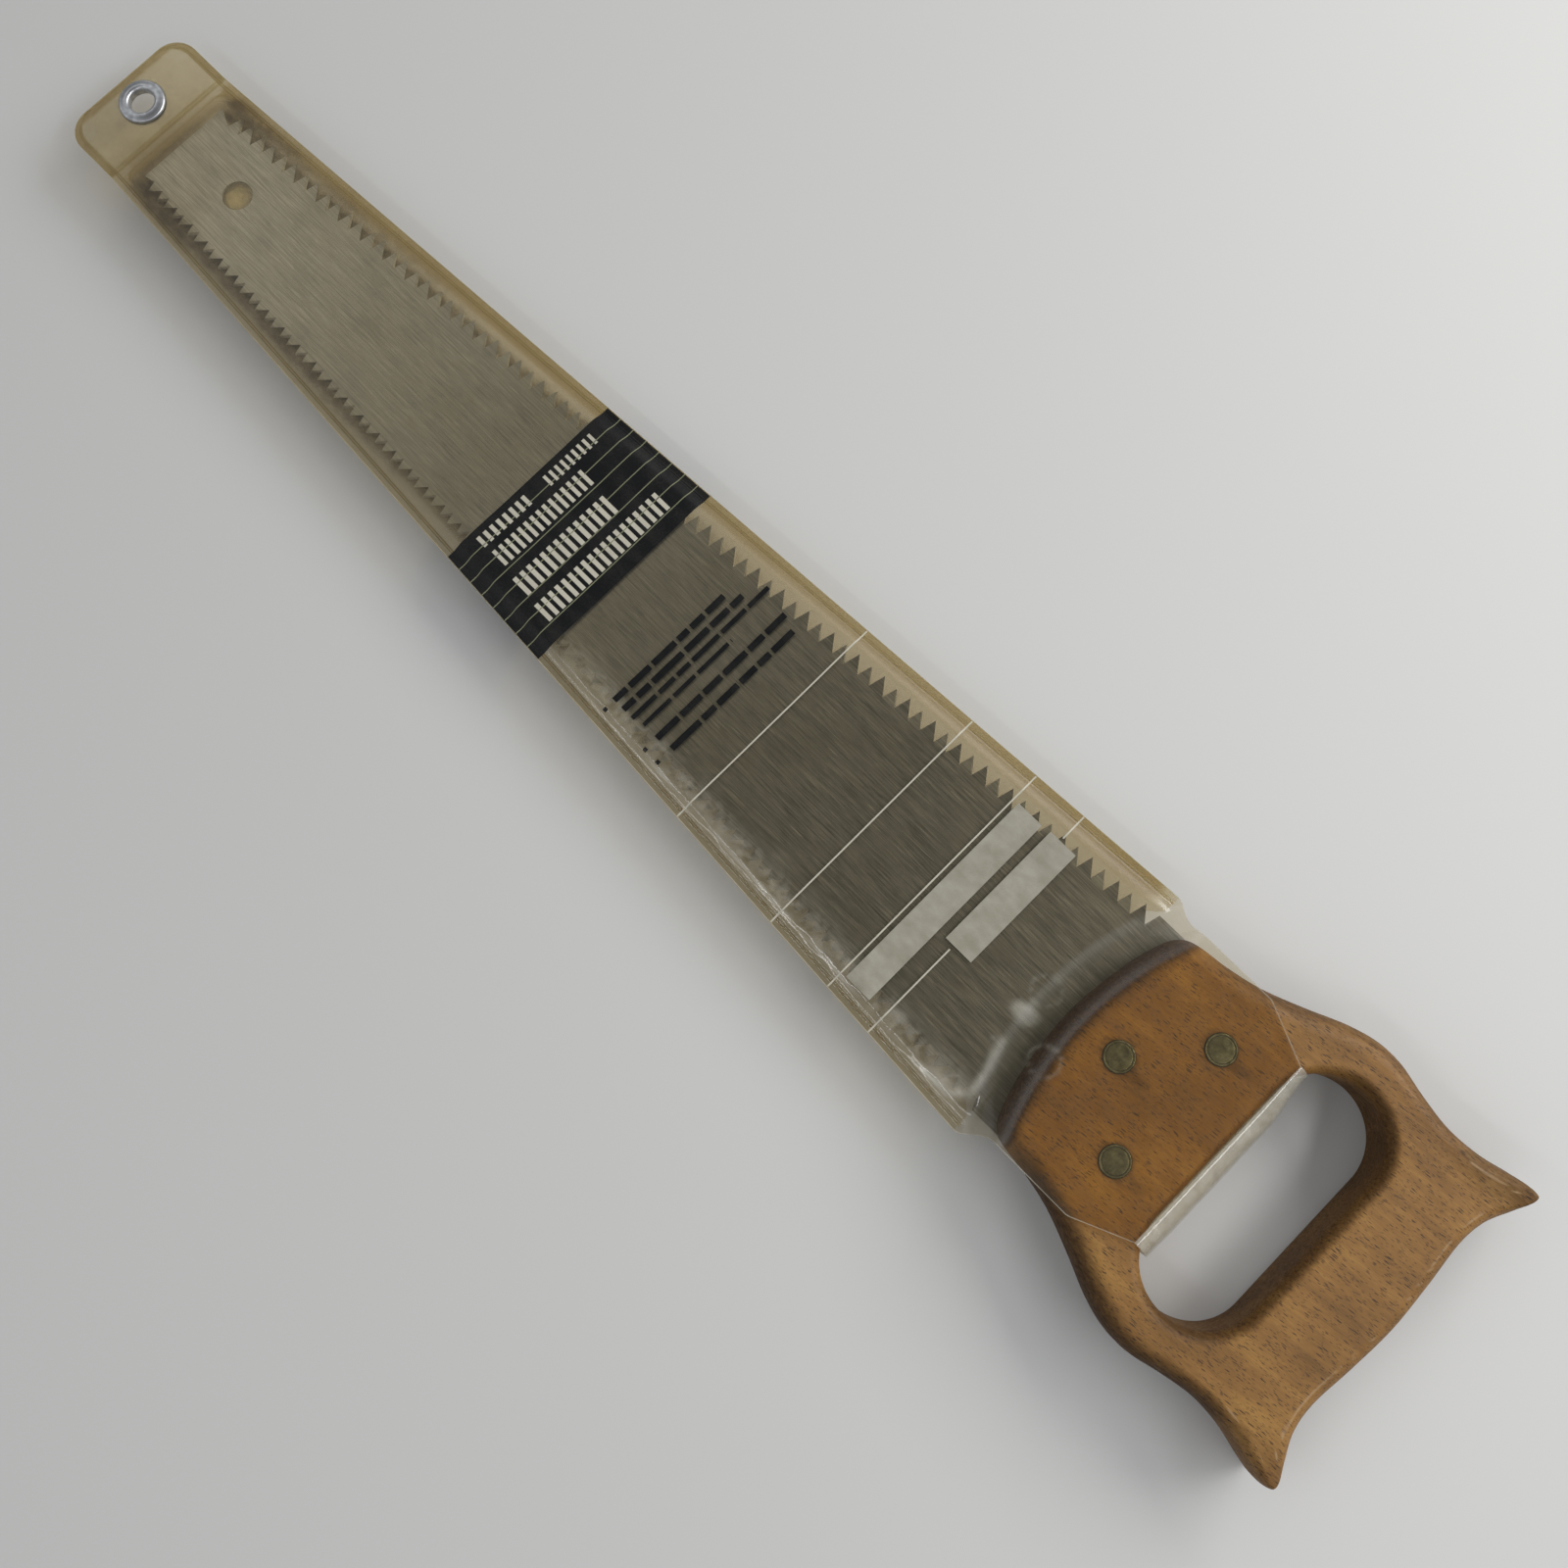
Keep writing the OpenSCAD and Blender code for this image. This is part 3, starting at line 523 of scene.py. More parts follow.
def ink(name, code, roughness):
    """Screen-printed vinyl ink: an even colour with small thin spots."""
    made, tree = finish(name)
    thin = grain(tree, (0.5, 0.5, 0.5), detail=3)
    patch = grain(tree, (12, 5, 5), detail=4)
    tone = add(tree, "Math", (thin, patch), operation="ADD")[0]
    tone = add(tree, "MapRange", (tone, 0.9, 1.3, 0, 0.14))[0]
    worn = add(tree, "Mix", {AMOUNT: tone, UNDER: code, OVER: "#55544c"}, data_type="RGBA")[BLEND]
    add(tree, "OutputMaterial", {"Surface": add(tree, "BsdfPrincipled", {
        "Base Color": worn, "Roughness": roughness, "IOR": 1.5, "Specular IOR Level": 0.25})[0]})
    return made


def plain_floor():
    """Pale painted board, matt."""
    made, tree = finish("painted_board_matt")
    add(tree, "OutputMaterial", {"Surface": add(tree, "BsdfPrincipled", {
        "Base Color": "#c9c9c8", "Roughness": 0.7})[0]})
    return made


STEEL = brushed_steel()
BEECH = varnished_beech()
VINYL = clear_vinyl()
BRASS = tarnished_brass()
NICKEL = nickel_plate()
PAPER = label_paper()
BLACK_INK = ink("vinyl_ink_black", "#0b0c0e", 0.4)
GOLD_INK = ink("vinyl_ink_gold", "#7d7f64", 0.4)
WHITE_INK = ink("vinyl_ink_white", "#bdb9aa", 0.5)


# BLADE


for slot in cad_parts["blade"].material_slots:
    slot.material = STEEL


# OUTLINES OF THE BLADE AND THE SLEEVE


def inside_teeth(x, y):
    """Distance in from the points of the teeth, which lie on a straight taper. It is below 0 outside the
    blade."""
    return TOE_HALF + (HEEL_HALF - TOE_HALF) * x / BLADE_LEN - abs(y)


def sleeve_half(x):
    """Half the width of the pocket: a straight taper."""
    return mix(TOE_HALF + TOE_MARGIN, HEEL_HALF + MOUTH_MARGIN, x / BLADE_LEN)


def cornered(half, r, from_end):
    """Half a width that starts with a round corner, at a distance from its end."""
    return half - r + np.sqrt(r * r - np.clip(r - from_end, 0, r) ** 2)


def front_half(x):
    """Half the width of the front film: tab, taper, shoulder at the mouth, flap with slanted corners."""
    pocket = cornered(sleeve_half(np.maximum(x, SEAL_X)), TAB_R, x + TAB_LEN)
    shoulder = mix(sleeve_half(BLADE_LEN), FLAP_HALF, ease((x - BLADE_LEN) / SHOULDER))
    slant = mix(FLAP_HALF, STRAP_HALF, (x - CUT_X) / FLAP_CUT)
    return np.where(x < BLADE_LEN, pocket, np.where(x < CUT_X, shoulder, slant))


# HANDLE


def front_at(out):
    """How far the curved front has fallen back at a distance out: R - √(R² - out²)."""
    return FRONT_R - np.sqrt(FRONT_R * FRONT_R - out * out)


# Half of the outline: distance behind the front, distance out, and width of the rounded edge there.
HALF_OUTLINE = np.array([
    (0, 0, 6),
    (front_at(20), 20, 6),
    (front_at(33), 33, 5.5),
    (front_at(36) + 2, 38, 5),
    (front_at(36) + 6.8, 40, 5.6),
    (23, 41.3, 6.2),
    (34, 43.8, 6.6),
    (46, 48.4, 6.8),
    (57.6, 53.4, 6.6),
    (66.6, 55.8, 6.2),
    (75, 55.8, 6),
    (85, 53.4, 5.2),
    (95.6, 51.6, 4.6),
    (106, 52.1, 4.4),
    (114.6, 54, 3.6),
    (120.4, 55.1, 2.4),
    (123.4, 54.7, 1.5),
    (124.4, 53.1, 1.2),
    (124, 50.2, 1.6),
    (122.2, 45.4, 3.2),
    (119.5, 38.4, 4.8),
    (118.6, 29.6, 5.2),
    (119.9, 15.5, 5.6),
    (120.8, 0, 5.8),
])


def outline(steps):
    """The handle's outline as [x, y, rounding], anticlockwise: a Catmull-Rom curve through both halves, held
    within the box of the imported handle."""
    half = HALF_OUTLINE + np.array([BLADE_LEN, 0, 0])
    points = np.concatenate([half * [1, -1, 1], half[-2:0:-1]])
    before, here, after, beyond = (np.roll(points, k, 0)[:, None] for k in (1, 0, -1, -2))
    t = np.arange(steps)[None, :, None] / steps
    curve = (2 * here + (after - before) * t + (2 * before - 5 * here + 4 * after - beyond) * t ** 2
             + (3 * here - before - 3 * after + beyond) * t ** 3) / 2
    return np.clip(curve.reshape(-1, 3), [BLADE_LEN, -HANDLE_HALF, 0], [HANDLE_END, HANDLE_HALF, HOLE_R])


def handle_shape():
    """Rings round the wood, closed into a loop: over the rounded outer edge, in across the top to the hand
    hole, down through the hole, and out across the underside. A rounding is a quarter of an ellipse."""
    line = outline(12)
    step = np.roll(line, -1, 0)[:, :2] - np.roll(line, 1, 0)[:, :2]
    inward = np.stack([-step[:, 1], step[:, 0]], -1) / np.hypot(*step.T)[:, None]
    middle = np.stack([np.full(len(line), HOLE_X), np.clip(line[:, 1], -HOLE_HALF, HOLE_HALF)], -1)
    away = line[:, :2] - middle
    away /= np.hypot(*away.T)[:, None]

    def edge(turn):
        """Ring on the outer rounding, from the side (turn 0) to the top."""
        plan = line[:, :2] + inward * line[:, 2:] * (1 - math.cos(turn))
        return plan, mix(SIDE_FLAT, WOOD_Z, math.sin(turn))

    def rim(turn):
        """Ring on the hand hole's rounding, from the wall (turn 0) to the top."""
        return middle + away * (HOLE_R + RIM_W * (1 - math.cos(turn))), WOOD_Z - RIM_H * (1 - math.sin(turn))

    outer = [edge(turn) for turn in np.linspace(0, math.pi / 2, 11)]
    inner = [rim(turn) for turn in np.linspace(math.pi / 2, 0, 9)]
    face = [(mix(outer[-1][0], inner[0][0], t), WOOD_Z) for t in np.linspace(0, 1, 14)[1:-1]]
    top = outer + face + inner
    rings = [np.column_stack([plan, np.full(len(plan), z)]) for plan, z in top]
    rings += [np.column_stack([plan, np.full(len(plan), -z)]) for plan, z in top[::-1]]
    grid = np.array(rings)
    return grid.reshape(-1, 3), quads(*grid.shape[:2], True, True)[:, ::-1]


def outline_distance(x, y):
    """Distance from points to the handle's outline, to the nearest of its points."""
    line = outline(6)[:, :2]
    nearest = [np.hypot(part[:, :1] - line[:, 0], part[:, 1:] - line[:, 1]).min(1)
               for part in np.array_split(np.stack([x, y], -1), 40)]
    return np.concatenate(nearest)


def handle_marks(x, y, z):
    """Where the wood is darkened. The front rounding, sloping away from the light, and the sides, most on
    the fine side away from the lamp, take painted shade as well as dirt; the back edge, the hand hole's rim
    on the grip side and its ends, the horns, and a smear behind each rivet take dirt. The worn line runs
    along the edge of the top face at the back and the horns."""
    out = outline_distance(x, y)
    back = x - BLADE_LEN
    # Painted shade and dirt on the front rounding, which slopes away from the light.
    front = 1 - ease((back - front_at(np.minimum(abs(y), HEEL_HALF)) - 3.5) / 5)
    # Painted shade and dirt down the sides, heavier on the fine side, away from the lamp.
    flank = (1 - ease((out - 1) / 6)) * ease((back - 6) / 20) * (1 - ease((back - 96) / 22))
    sides = flank * np.where(y < 0, 0.88, 0.62)
    stern = (1 - ease((out - 0.3) / 2.6)) * ease((back - 90) / 12) * 0.55
    past_middle = np.maximum(abs(y) - HOLE_HALF, 0)
    from_hole = np.hypot(x - HOLE_X, past_middle) - HOLE_R
    bearing = np.arctan2(past_middle, x - HOLE_X)
    rim = (1 - ease((from_hole - 1.2) / 3.2)) * (1 - 0.9 * ease((bearing - 1.6) / 0.9))
    smear = 0
    for at in RIVETS.values():
        across, along = y - at[1], x - at[0]
        trail = hump((along - 7) / 5) * hump((across + 1) / 2.2)
        ring = hump((np.hypot(across, along) - HEAD_R) / 0.8)
        smear = np.maximum(smear, 0.6 * np.maximum(trail, ring))
    ridge = hump((out - 4.4) / 0.5) * ease((back - 88) / 14)
    broken = ease(0.6 + ripple(x, y, 2.6, 21))
    horns = np.where(y < 0, 0.4, 0.7) * ease((abs(y) - 36) / 16) * ease((back - 84) / 22)
    film_half = np.where(x < STRAP_X, front_half(x), STRAP_HALF)
    return {"dirt_and_shade": np.maximum.reduce([0.95 * front, sides, stern, 0.7 * rim, smear, horns]),
            "worn": ridge * broken * (z > WOOD_Z - 2),
            "covered": (film_half > abs(y)) * (x < STRAP_X + 1)}


def head_hole(at, way):
    """Counterbore for a rivet head, above (way 1) or below (way -1)."""
    return rod(at, HEAD_R + RIVET_PLAY, *sorted((way * HEAD_UNDER, way * (WOOD_Z + 2))))


piece("handle_wood", handle_shape(), BEECH, "saw", "beech", ["handle"], marks=handle_marks, holes=[
    block((BLADE_LEN - 4, -80, -KERF / 2), (BLADE_LEN + TANG_LEN + 0.4, 80, KERF / 2)),
    *[rod(at, TUBE_R + RIVET_PLAY, -WOOD_Z - 2, WOOD_Z + 2) for at in RIVETS.values()],
    *[head_hole(at, way) for at in RIVETS.values() for way in (1, -1)]])


# RIVETS


def head_profile():
    """Flat head with a rounded edge and a fine ring pressed in near it, from the rim under its edge
    inwards."""
    ring = np.linspace(HEAD_RING_R - 0.3, HEAD_RING_R + 0.3, 7)
    face = [(r, HEAD_TOP - HEAD_RING_DEPTH * hump((r - HEAD_RING_R) / 0.16)) for r in ring]
    turn = np.linspace(math.pi / 2, 0, 6)
    edge = [(HEAD_R - HEAD_ROUNDING * (1 - math.cos(a)), HEAD_TOP - HEAD_ROUNDING * (1 - math.sin(a)))
            for a in turn]
    from_middle = [(0, HEAD_TOP), (1.6, HEAD_TOP), (2.8, HEAD_TOP), *face, *edge, (HEAD_R, HEAD_UNDER)]
    return from_middle[::-1]


def rivet_shape(at):
    """Headed pin from above."""
    return turned([(0, PIN_END), (PIN_R, PIN_END), (PIN_R, HEAD_UNDER), *head_profile()], at)


def cap_shape(at):
    """Headed tube from below, with its bore."""
    bore = PIN_R + PIN_PLAY
    points, faces = turned([(0, HEAD_UNDER), (bore, HEAD_UNDER), (bore, TUBE_END), (TUBE_R, TUBE_END),
                            (TUBE_R, HEAD_UNDER), *head_profile()], at)
    return points * [1, 1, -1], faces


def head_marks(at):
    """Dirt in the ring near a rivet head's edge, and painted shade at its edge and round its side, where it
    meets the wood.
    """
    def marks(x, y, z):
        r = np.hypot(x - at[0], y - at[1])
        return {"dirt_and_shade": np.maximum(0.8 * hump((r - HEAD_RING_R) / 0.2), ease((r - HEAD_R + 0.2) / 0.2))}
    return marks


for name, at in RIVETS.items():
    piece(f"rivet_{name}_head", rivet_shape(at), BRASS, "saw", "rivet_metal", [f"rivet_{name}"],
          marks=head_marks(at))
    piece(f"rivet_cap_{name}_head", cap_shape(at), BRASS, "saw", "rivet_metal", [f"rivet_cap_{name}"],
          marks=head_marks(at))


# SLEEVE


def tongue_half(x):
    """Half the width of the tongue, narrower where it is lapped."""
    spread_out = ease((x - LAP_X) / (BLADE_LEN - LAP_X))
    return cornered(STRAP_HALF * mix(0.8, 1, spread_out), 6, x - LAP_X)


def risen(x, y):
    """How far the film has risen onto the wood, 0 to 1, along the handle's curved front."""
    return ease((x - front_at(np.minimum(abs(y), HEEL_HALF - 1)) - LIFT_X0) / (LIFT_X1 - LIFT_X0))


def pocket_at(x, y_in):
    """Height of a film's inner face in the pocket: flat at the weld, then up to clear the teeth."""
    slope = mix(3.4, 4.6, x / BLADE_LEN)
    end = ease((x + POCKET_END) / (POCKET_END - 0.8))
    return POCKET_Z * end * ease((y_in - WELD_W - WELD_LINE_GAP) / slope)


def front_z(x, y, y_in):
    """Height of the front film's inner face, at a distance in from its edge."""
    free = np.clip((x - BLADE_LEN) / 9, 0, 1)
    up = risen(x, y)
    start = mix(WELD_W + WELD_LINE_GAP, -15, free)
    slope = mix(3.2, 15, ease((x - LIFT_X0) / 12))
    return mix(pocket_at(x, y_in) * (1 - up), OVER_Z * ease((y_in - start) / slope), up)


def clinging(x, y, y_in):
    """Band along the fine teeth where the film sticks to the plate."""
    along = ease((x - 185) / 40) * ease((BLADE_LEN - 2 - x) / 6)
    return hump((y_in - 8.2) / 4) * along * (y < 0)


def slack(x, y, y_in):
    """How the front film lies on the saw: down on the plate between the teeth, with soft waves. Along the
    fine teeth it clings in small blisters from the middle of the blade on."""
    over_plate = ease((y_in - 14) / 8) * ease((x - 8) / 12) * ease((LIFT_X0 - 4 - x) / 12)
    waves = 0.1 * ripple(x, y, 23, 1) + 0.05 * ripple(x, y, 9, 2)
    blisters = 0.42 * ease(0.5 + 0.6 * ripple(x / 1.8, y, 4.4, 12)) + 0.14 * ripple(x / 1.4, y, 2.4, 13)
    return over_plate * (waves - 0.2) + clinging(x, y, y_in) * (blisters - 0.16)


def groove(x, y_in):
    """Depth of the two lines that the welding bar leaves beside the band, down the sides and across the
    tab."""
    down_side = hump((y_in - WELD_W) / 0.16) + hump((y_in - WELD_W - WELD_LINE_GAP) / 0.16)
    over_tab = hump((x - SEAL_X + 1) / 0.18) + hump((x - SEAL_X - 0.2) / 0.18)
    return WELD_LINE_DEPTH * np.clip(np.where(x < BLADE_LEN, down_side, 0) + over_tab, 0, 1)


def top_of_film(x, y):
    """Height of the front film's outer face."""
    y_in = np.maximum(front_half(x) - abs(y), 0)
    return front_z(x, y, y_in) + slack(x, y, y_in) + FILM - groove(x, y_in)


def near_path(x, y, path):
    """Distance from points to a broken line through the places of a path."""
    gaps = []
    for a, b in zip(path, path[1:]):
        run = np.subtract(b, a)
        t = np.clip(((x - a[0]) * run[0] + (y - a[1]) * run[1]) / (run @ run), 0, 1)
        gaps.append(np.hypot(x - a[0] - t * run[0], y - a[1] - t * run[1]))
    return np.minimum.reduce(gaps)


def painted_glare(x, y):
    """Painted glare on the film at the mouth, white patches where light catches its bumps: a blot, a hooked
    streak with a short bar beside it, and two rings that rivet heads have pressed in."""
    hook = near_path(x, y, [(385.8, -20), (388.6, -28), (389.6, -36), (385, -40.5), (376.7, -40.8)])
    bar = near_path(x, y, [(383, -21), (387, -21)])
    blot = np.hypot((x - 384.8) / 4.2, (y + 9) / 3)
    rings = [abs(np.hypot(x - at[0], y - at[1]) - 4.4) for at in ((384.8, 0), (397.3, -15.6))]
    streaks = np.maximum(0.2 * hump(hook / 1.4), 0.2 * hump(bar / 0.5))
    return np.maximum.reduce([streaks, 0.24 * (1 - ease((blot - 0.5) / 0.8)),
                              *[0.06 * hump(gap / 0.4) for gap in rings]])


def pocket_line(x, y_in):
    """Painted shade in the crease round the end of the pocket: a rectangle with round corners, fading out
    along the sides.
    """
    corner = 4
    end, beside = corner - POCKET_END - 0.3 - x, corner + 3.8 - y_in
    gap = np.hypot(np.maximum(end, 0), np.maximum(beside, 0)) + np.minimum(np.maximum(end, beside), 0)
    return hump((gap - corner) / 0.22) * (1 - ease((x - 2) / 14))


def film_marks(x, y, z):
    """The film's age, haze, grime and lines. It is yellowest at the toe, along its rim and in the margin
    beside the coarse teeth, and milky on the tab. It is dirty beside the teeth: heavily in the toe's
    corners, and further along on the fine side.
    A pale line is painted along the cut edge, for the light that catches it. On the front, painted glare
    comes on top: white patches at the mouth, and a wet glare with a thin glint along the fine teeth. The
    lines are painted shade in the weld grooves and round the pocket's end."""
    y_in = front_half(x) - abs(y)
    inside = inside_teeth(x, y)
    margin = np.where(y < 0, 0, mix(0.4, 1, x / BLADE_LEN)) * ease(-inside / 3)
    margin = margin * ease((BLADE_LEN - x) / 8) * ease((x - SEAL_X) / 4)
    bead = (1 - ease((y_in - WELD_W) / 0.9)) * (x < SEAL_X)
    bead = np.maximum(bead, 1 - ease((x + TAB_LEN - WELD_W) / 0.9))
    age = 0.5 * (1 - ease((x + 10) / 330)) + 0.08 * ripple(x, y, 19, 5) + margin + 0.8 * bead

    corner = hump((inside + 0.6) / 3) * (1 - ease((x - 8) / 36)) * ease((x + 4) / 6)
    reach = np.where(y < 0, 1 - ease((x - 60) / 120), 0.8 * (1 - ease((x - 50) / 90)))
    beside = hump((inside + 0.5) / 2) * reach * ease((x + 2) / 6)
    print_of_toe = hump((x + 0.9) / 1.1) * (abs(y) < TOE_HALF)

    # Painted glare: white patches in the haze along the fine teeth, where light catches the clinging film.
    beads = 0.35 + 0.3 * ripple(x / 2, y, 3.1, 14) + 0.35 * ripple(x, y, 1.1, 15)
    painted_wet_glare = clinging(x, y, y_in) * np.clip(beads, 0, 1)
    # Painted glint: a thin broken white line along the fine side towards the mouth.
    painted_glint = hump((y_in - 5) / 0.4) * ease((x - 236) / 20) * ease((BLADE_LEN - 4 - x) / 8) * (y < 0)
    painted_glint = painted_glint * np.clip(0.5 + 0.7 * ripple(x, 0 * y, 9, 19), 0, 1)
    on_tab = 1 - ease((x - SEAL_X + 1) / 1.5)
    # A pale line painted along the cut edge, for the light that catches it.
    rim = 1 - ease((np.minimum(y_in, x + TAB_LEN) - 0.1) / 0.25)
    haze_and_glare = 0.012 + 0.01 * (1 - ease((x - 60) / 240)) + 0.07 * on_tab * (1 + 1.3 * ripple(x, y, 5, 17))
    haze_and_glare = haze_and_glare + (painted_glare(x, y) + 0.2 * painted_wet_glare + 0.3 * painted_glint) * (z > 0) + 0.2 * rim
    # The lines are painted shade, in the weld grooves and round the pocket's end.
    return {"age": age, "haze_and_glare": haze_and_glare,
            "grime": np.maximum.reduce([0.5 * corner, 0.24 * beside, 0.2 * print_of_toe]),
            "line": np.maximum(groove(x, y_in) / WELD_LINE_DEPTH, 0.7 * pocket_line(x, y_in))}


def back_marks(x, y, z):
    """The back film's marks are the front's, with grime that shows in the gullets between the teeth, and a
    pale disc of painted light where the film lies against the hole in the toe."""
    marks = film_marks(x, y, z)
    gullets = hump((inside_teeth(x, y) - 3) / 2.2) * (1 - ease((x - 40) / 240)) * ease((x + 1) / 3)
    marks["grime"] = np.maximum(marks["grime"], 1.2 * gullets)
    # Painted light: a pale disc on the back film under the hole in the toe.
    marks["haze_and_glare"] = marks["haze_and_glare"] + 0.45 * (1 - ease((np.hypot(x - TOE_HOLE_X, y) - 3.6) / 1.6))
    return marks


def strap_marks(x, y, z):
    """The strap is as pale as the film beyond the mouth, and hazier, the thicker haze being partly painted
    sheen.
    """
    return {"age": 0, "haze_and_glare": 0.25, "grime": 0.25 * ease(ripple(y, z, 3, 9) - 0.55), "line": 0}


def tongue_marks(x, y, z):
    """The tongue is clear and pale."""
    return {"age": 0, "haze_and_glare": 0.02, "grime": 0, "line": 0}


# Distances in from a film's edge to its outer columns, close together at the welded band and the painted
# glint.
EDGE_COLUMNS = (0, 0.15, 0.35, 0.9, 1.5, 1.7, 1.8, 1.9, 2, 2.1, 2.4, 2.5, 2.6, 2.7, 2.85, 3.4, 4.2, 4.7, 5,
                5.3, 6, 7)


def film_grid(rows, half, step):
    """Grid over a film: x, y and the distance in from the edge. The edge columns come first, then even ones
    to the middle, which are a step apart at the wide end."""
    count = round(40 / step)
    outer = np.broadcast_to(EDGE_COLUMNS, (len(rows), len(EDGE_COLUMNS)))
    inner = mix(EDGE_COLUMNS[-1], half[:, None], np.arange(1, count) / count)
    ins = np.concatenate([outer, inner], 1)
    y = np.concatenate([ins - half[:, None], np.zeros((len(rows), 1)), (half[:, None] - ins)[:, ::-1]], 1)
    y_in = np.concatenate([ins, half[:, None], ins[:, ::-1]], 1)
    return np.broadcast_to(rows[:, None], y.shape), y, y_in


def film_rows(step):
    """Places of the rows from the end of the tab to the lift, closer at the corners, the seal and the
    pocket's end."""
    corner = -TAB_LEN + TAB_R * (1 - np.cos(np.linspace(0, np.pi / 2, 14)))
    tab = np.arange(corner[-1] + step, SEAL_X - 2, step)
    seal = SEAL_X + np.arange(-1.6, 1, 0.16)
    end = np.arange(SEAL_X + 1.2, 2, 0.4)
    return np.concatenate([corner, tab, seal, end, np.arange(2 + step, LIFT_X0, step)])


def raised(x, y, z, thick):
    """Upper and lower grids of a sheet, from the height of its lower face and its thickness."""
    return np.stack([x, y, z + thick], -1), np.stack([x, y, z], -1)


def underneath(upper, lower):
    """A sheet's grids mirrored in the plane of the blade."""
    return lower * [1, 1, -1], upper * [1, 1, -1]


def front_film():
    """Front film: tab, pocket, rise over the front of the handle, and flap."""
    rise = np.linspace(LIFT_X0, LIFT_X1 + 10, 40)
    rows = np.concatenate([film_rows(1.3), rise, np.linspace(LIFT_X1 + 11, STRAP_X, 30)])
    x, y, y_in = film_grid(rows, front_half(rows), 1.5)
    return shell(*raised(x, y, front_z(x, y, y_in) + slack(x, y, y_in), FILM - groove(x, y_in)))


def back_film():
    """Back film: tab and pocket, with a thumb notch at the mouth."""
    rows = np.concatenate([film_rows(1.8), np.linspace(LIFT_X0, BLADE_LEN, 14)])
    x, y, y_in = film_grid(rows, front_half(np.minimum(rows, BLADE_LEN - 0.001)), 2)
    notch = NOTCH * (1 - ease((abs(y) - HEEL_HALF + 4) / 7))
    x = x - notch * np.clip((x - LIFT_X0) / (BLADE_LEN - LIFT_X0), 0, 1)
    return shell(*underneath(*raised(x, y, pocket_at(x, y_in), FILM - groove(x, y_in))))


def tongue_film():
    """Tongue under the handle, lapped on the back film."""
    rows = np.concatenate([LAP_X + 6 * (1 - np.cos(np.linspace(0, np.pi / 2, 10))),
                           np.arange(LAP_X + 7.4, STRAP_X, 1.5), [STRAP_X]])
    x, part = np.meshgrid(rows, np.linspace(-1, 1, 49), indexing="ij")
    y = part * tongue_half(x)
    return shell(*underneath(*raised(x, y, mix(POCKET_Z + FILM, OVER_Z, risen(x, y)), FILM)))


def strap_film():
    """Strap down through the hand hole: half an oval from the side, a little slacker in its middle, and
    tacked in at one small place."""
    turn, y = np.meshgrid(np.linspace(np.pi / 2, -np.pi / 2, 61), np.linspace(-STRAP_HALF, STRAP_HALF, 61),
                          indexing="ij")
    belly = STRAP_BELLY * (1 - 0.28 * ease((y - 16) / 16) - 0.05 * ease(-(y + 24) / 10))
    belly = belly - 0.12 * (1 + ripple(turn * 8, y, 7, 8)) * np.cos(turn)
    tack = 0.5 * hump((y - 5.4) / 1.6) * hump((turn - 0.75) / 0.16)
    inner = np.stack([STRAP_X + (belly - tack) * np.cos(turn), y, OVER_Z * np.sin(turn)], -1)
    away = np.stack([np.cos(turn), 0 * y, np.sin(turn)], -1)
    return shell(inner + FILM * away, inner)


def eyelet_hole():
    """Hole for the eyelet's barrel."""
    return rod((EYELET_X, 0), EYELET_BORE + EYELET_WALL + 0.05, -4, 4)


on_sleeve("film_front", front_film(), VINYL, stands_for=["sleeve_front"], marks=film_marks,
          holes=[eyelet_hole()])
on_sleeve("film_back", back_film(), VINYL, stands_for=["sleeve_back"], marks=back_marks,
          holes=[eyelet_hole()])
on_sleeve("film_tongue", tongue_film(), VINYL, stands_for=["sleeve_tongue"], marks=tongue_marks)
strap = on_sleeve("film_strap", strap_film(), VINYL, stands_for=["sleeve_strap"], marks=strap_marks)
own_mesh(strap)


# EYELET


def eyelet_shape():
    """Pressed ring: a rolled outer edge, a shallow channel, a raised inner bead, and the barrel down to a
    lip clinched over the washer."""
    top, under = FILM + EYELET_H, -FILM - WASHER_T
    outside = EYELET_BORE + EYELET_WALL
    roll = [(EYELET_R - 0.9 + 0.9 * math.cos(a), FILM + 0.95 * math.sin(a)) for a in np.linspace(0, 1.45, 8)]
    face = [(6.4, top - 0.24), (6, top - 0.1), (5.6, top - 0.02), (5.3, top), (5, top - 0.04)]
    bore = [(4.7, top - 0.2), (4.42, top - 0.45), (4.25, top - 0.8), (EYELET_BORE, FILM),
            (EYELET_BORE, under)]
    lip = [(4.5, under - 0.6), (5.9, under - 0.6), (6.1, under)]
    barrel = [(outside, under), (outside, FILM + 0.5), (EYELET_R - 0.5, FILM + 0.5), (EYELET_R - 0.5, FILM)]
    return turned((roll + face + bore + lip + barrel)[::-1], (EYELET_X, 0), closed=True)


def eyelet_marks(x, y, z):
    """Dirt in the eyelet's channel, and painted shade under its rolled edge."""
    r = np.hypot(x - EYELET_X, y)
    return {"dirt_and_shade": np.maximum(0.3 * hump((r - 6.45) / 0.4), 0.4 * ease((r - EYELET_R + 0.5) / 0.4))}


piece("eyelet_ring", eyelet_shape(), NICKEL, "sheath", "eyelet_metal", ["eyelet"], marks=eyelet_marks,
      crease=50)
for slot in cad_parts["eyelet_washer"].material_slots:
    slot.material = NICKEL


# PRINT AND SLIPS


def laid(x0, x1, y0, y1, lift=GAP, thick=INK, step=PRINT_STEP):
    """Thin sheet on the front film's outer face, between straight edges."""
    x, y = np.meshgrid(stations(x0, x1, step), stations(y0, y1, step), indexing="ij")
    return shell(*raised(x, y, top_of_film(x, y) + lift, thick))


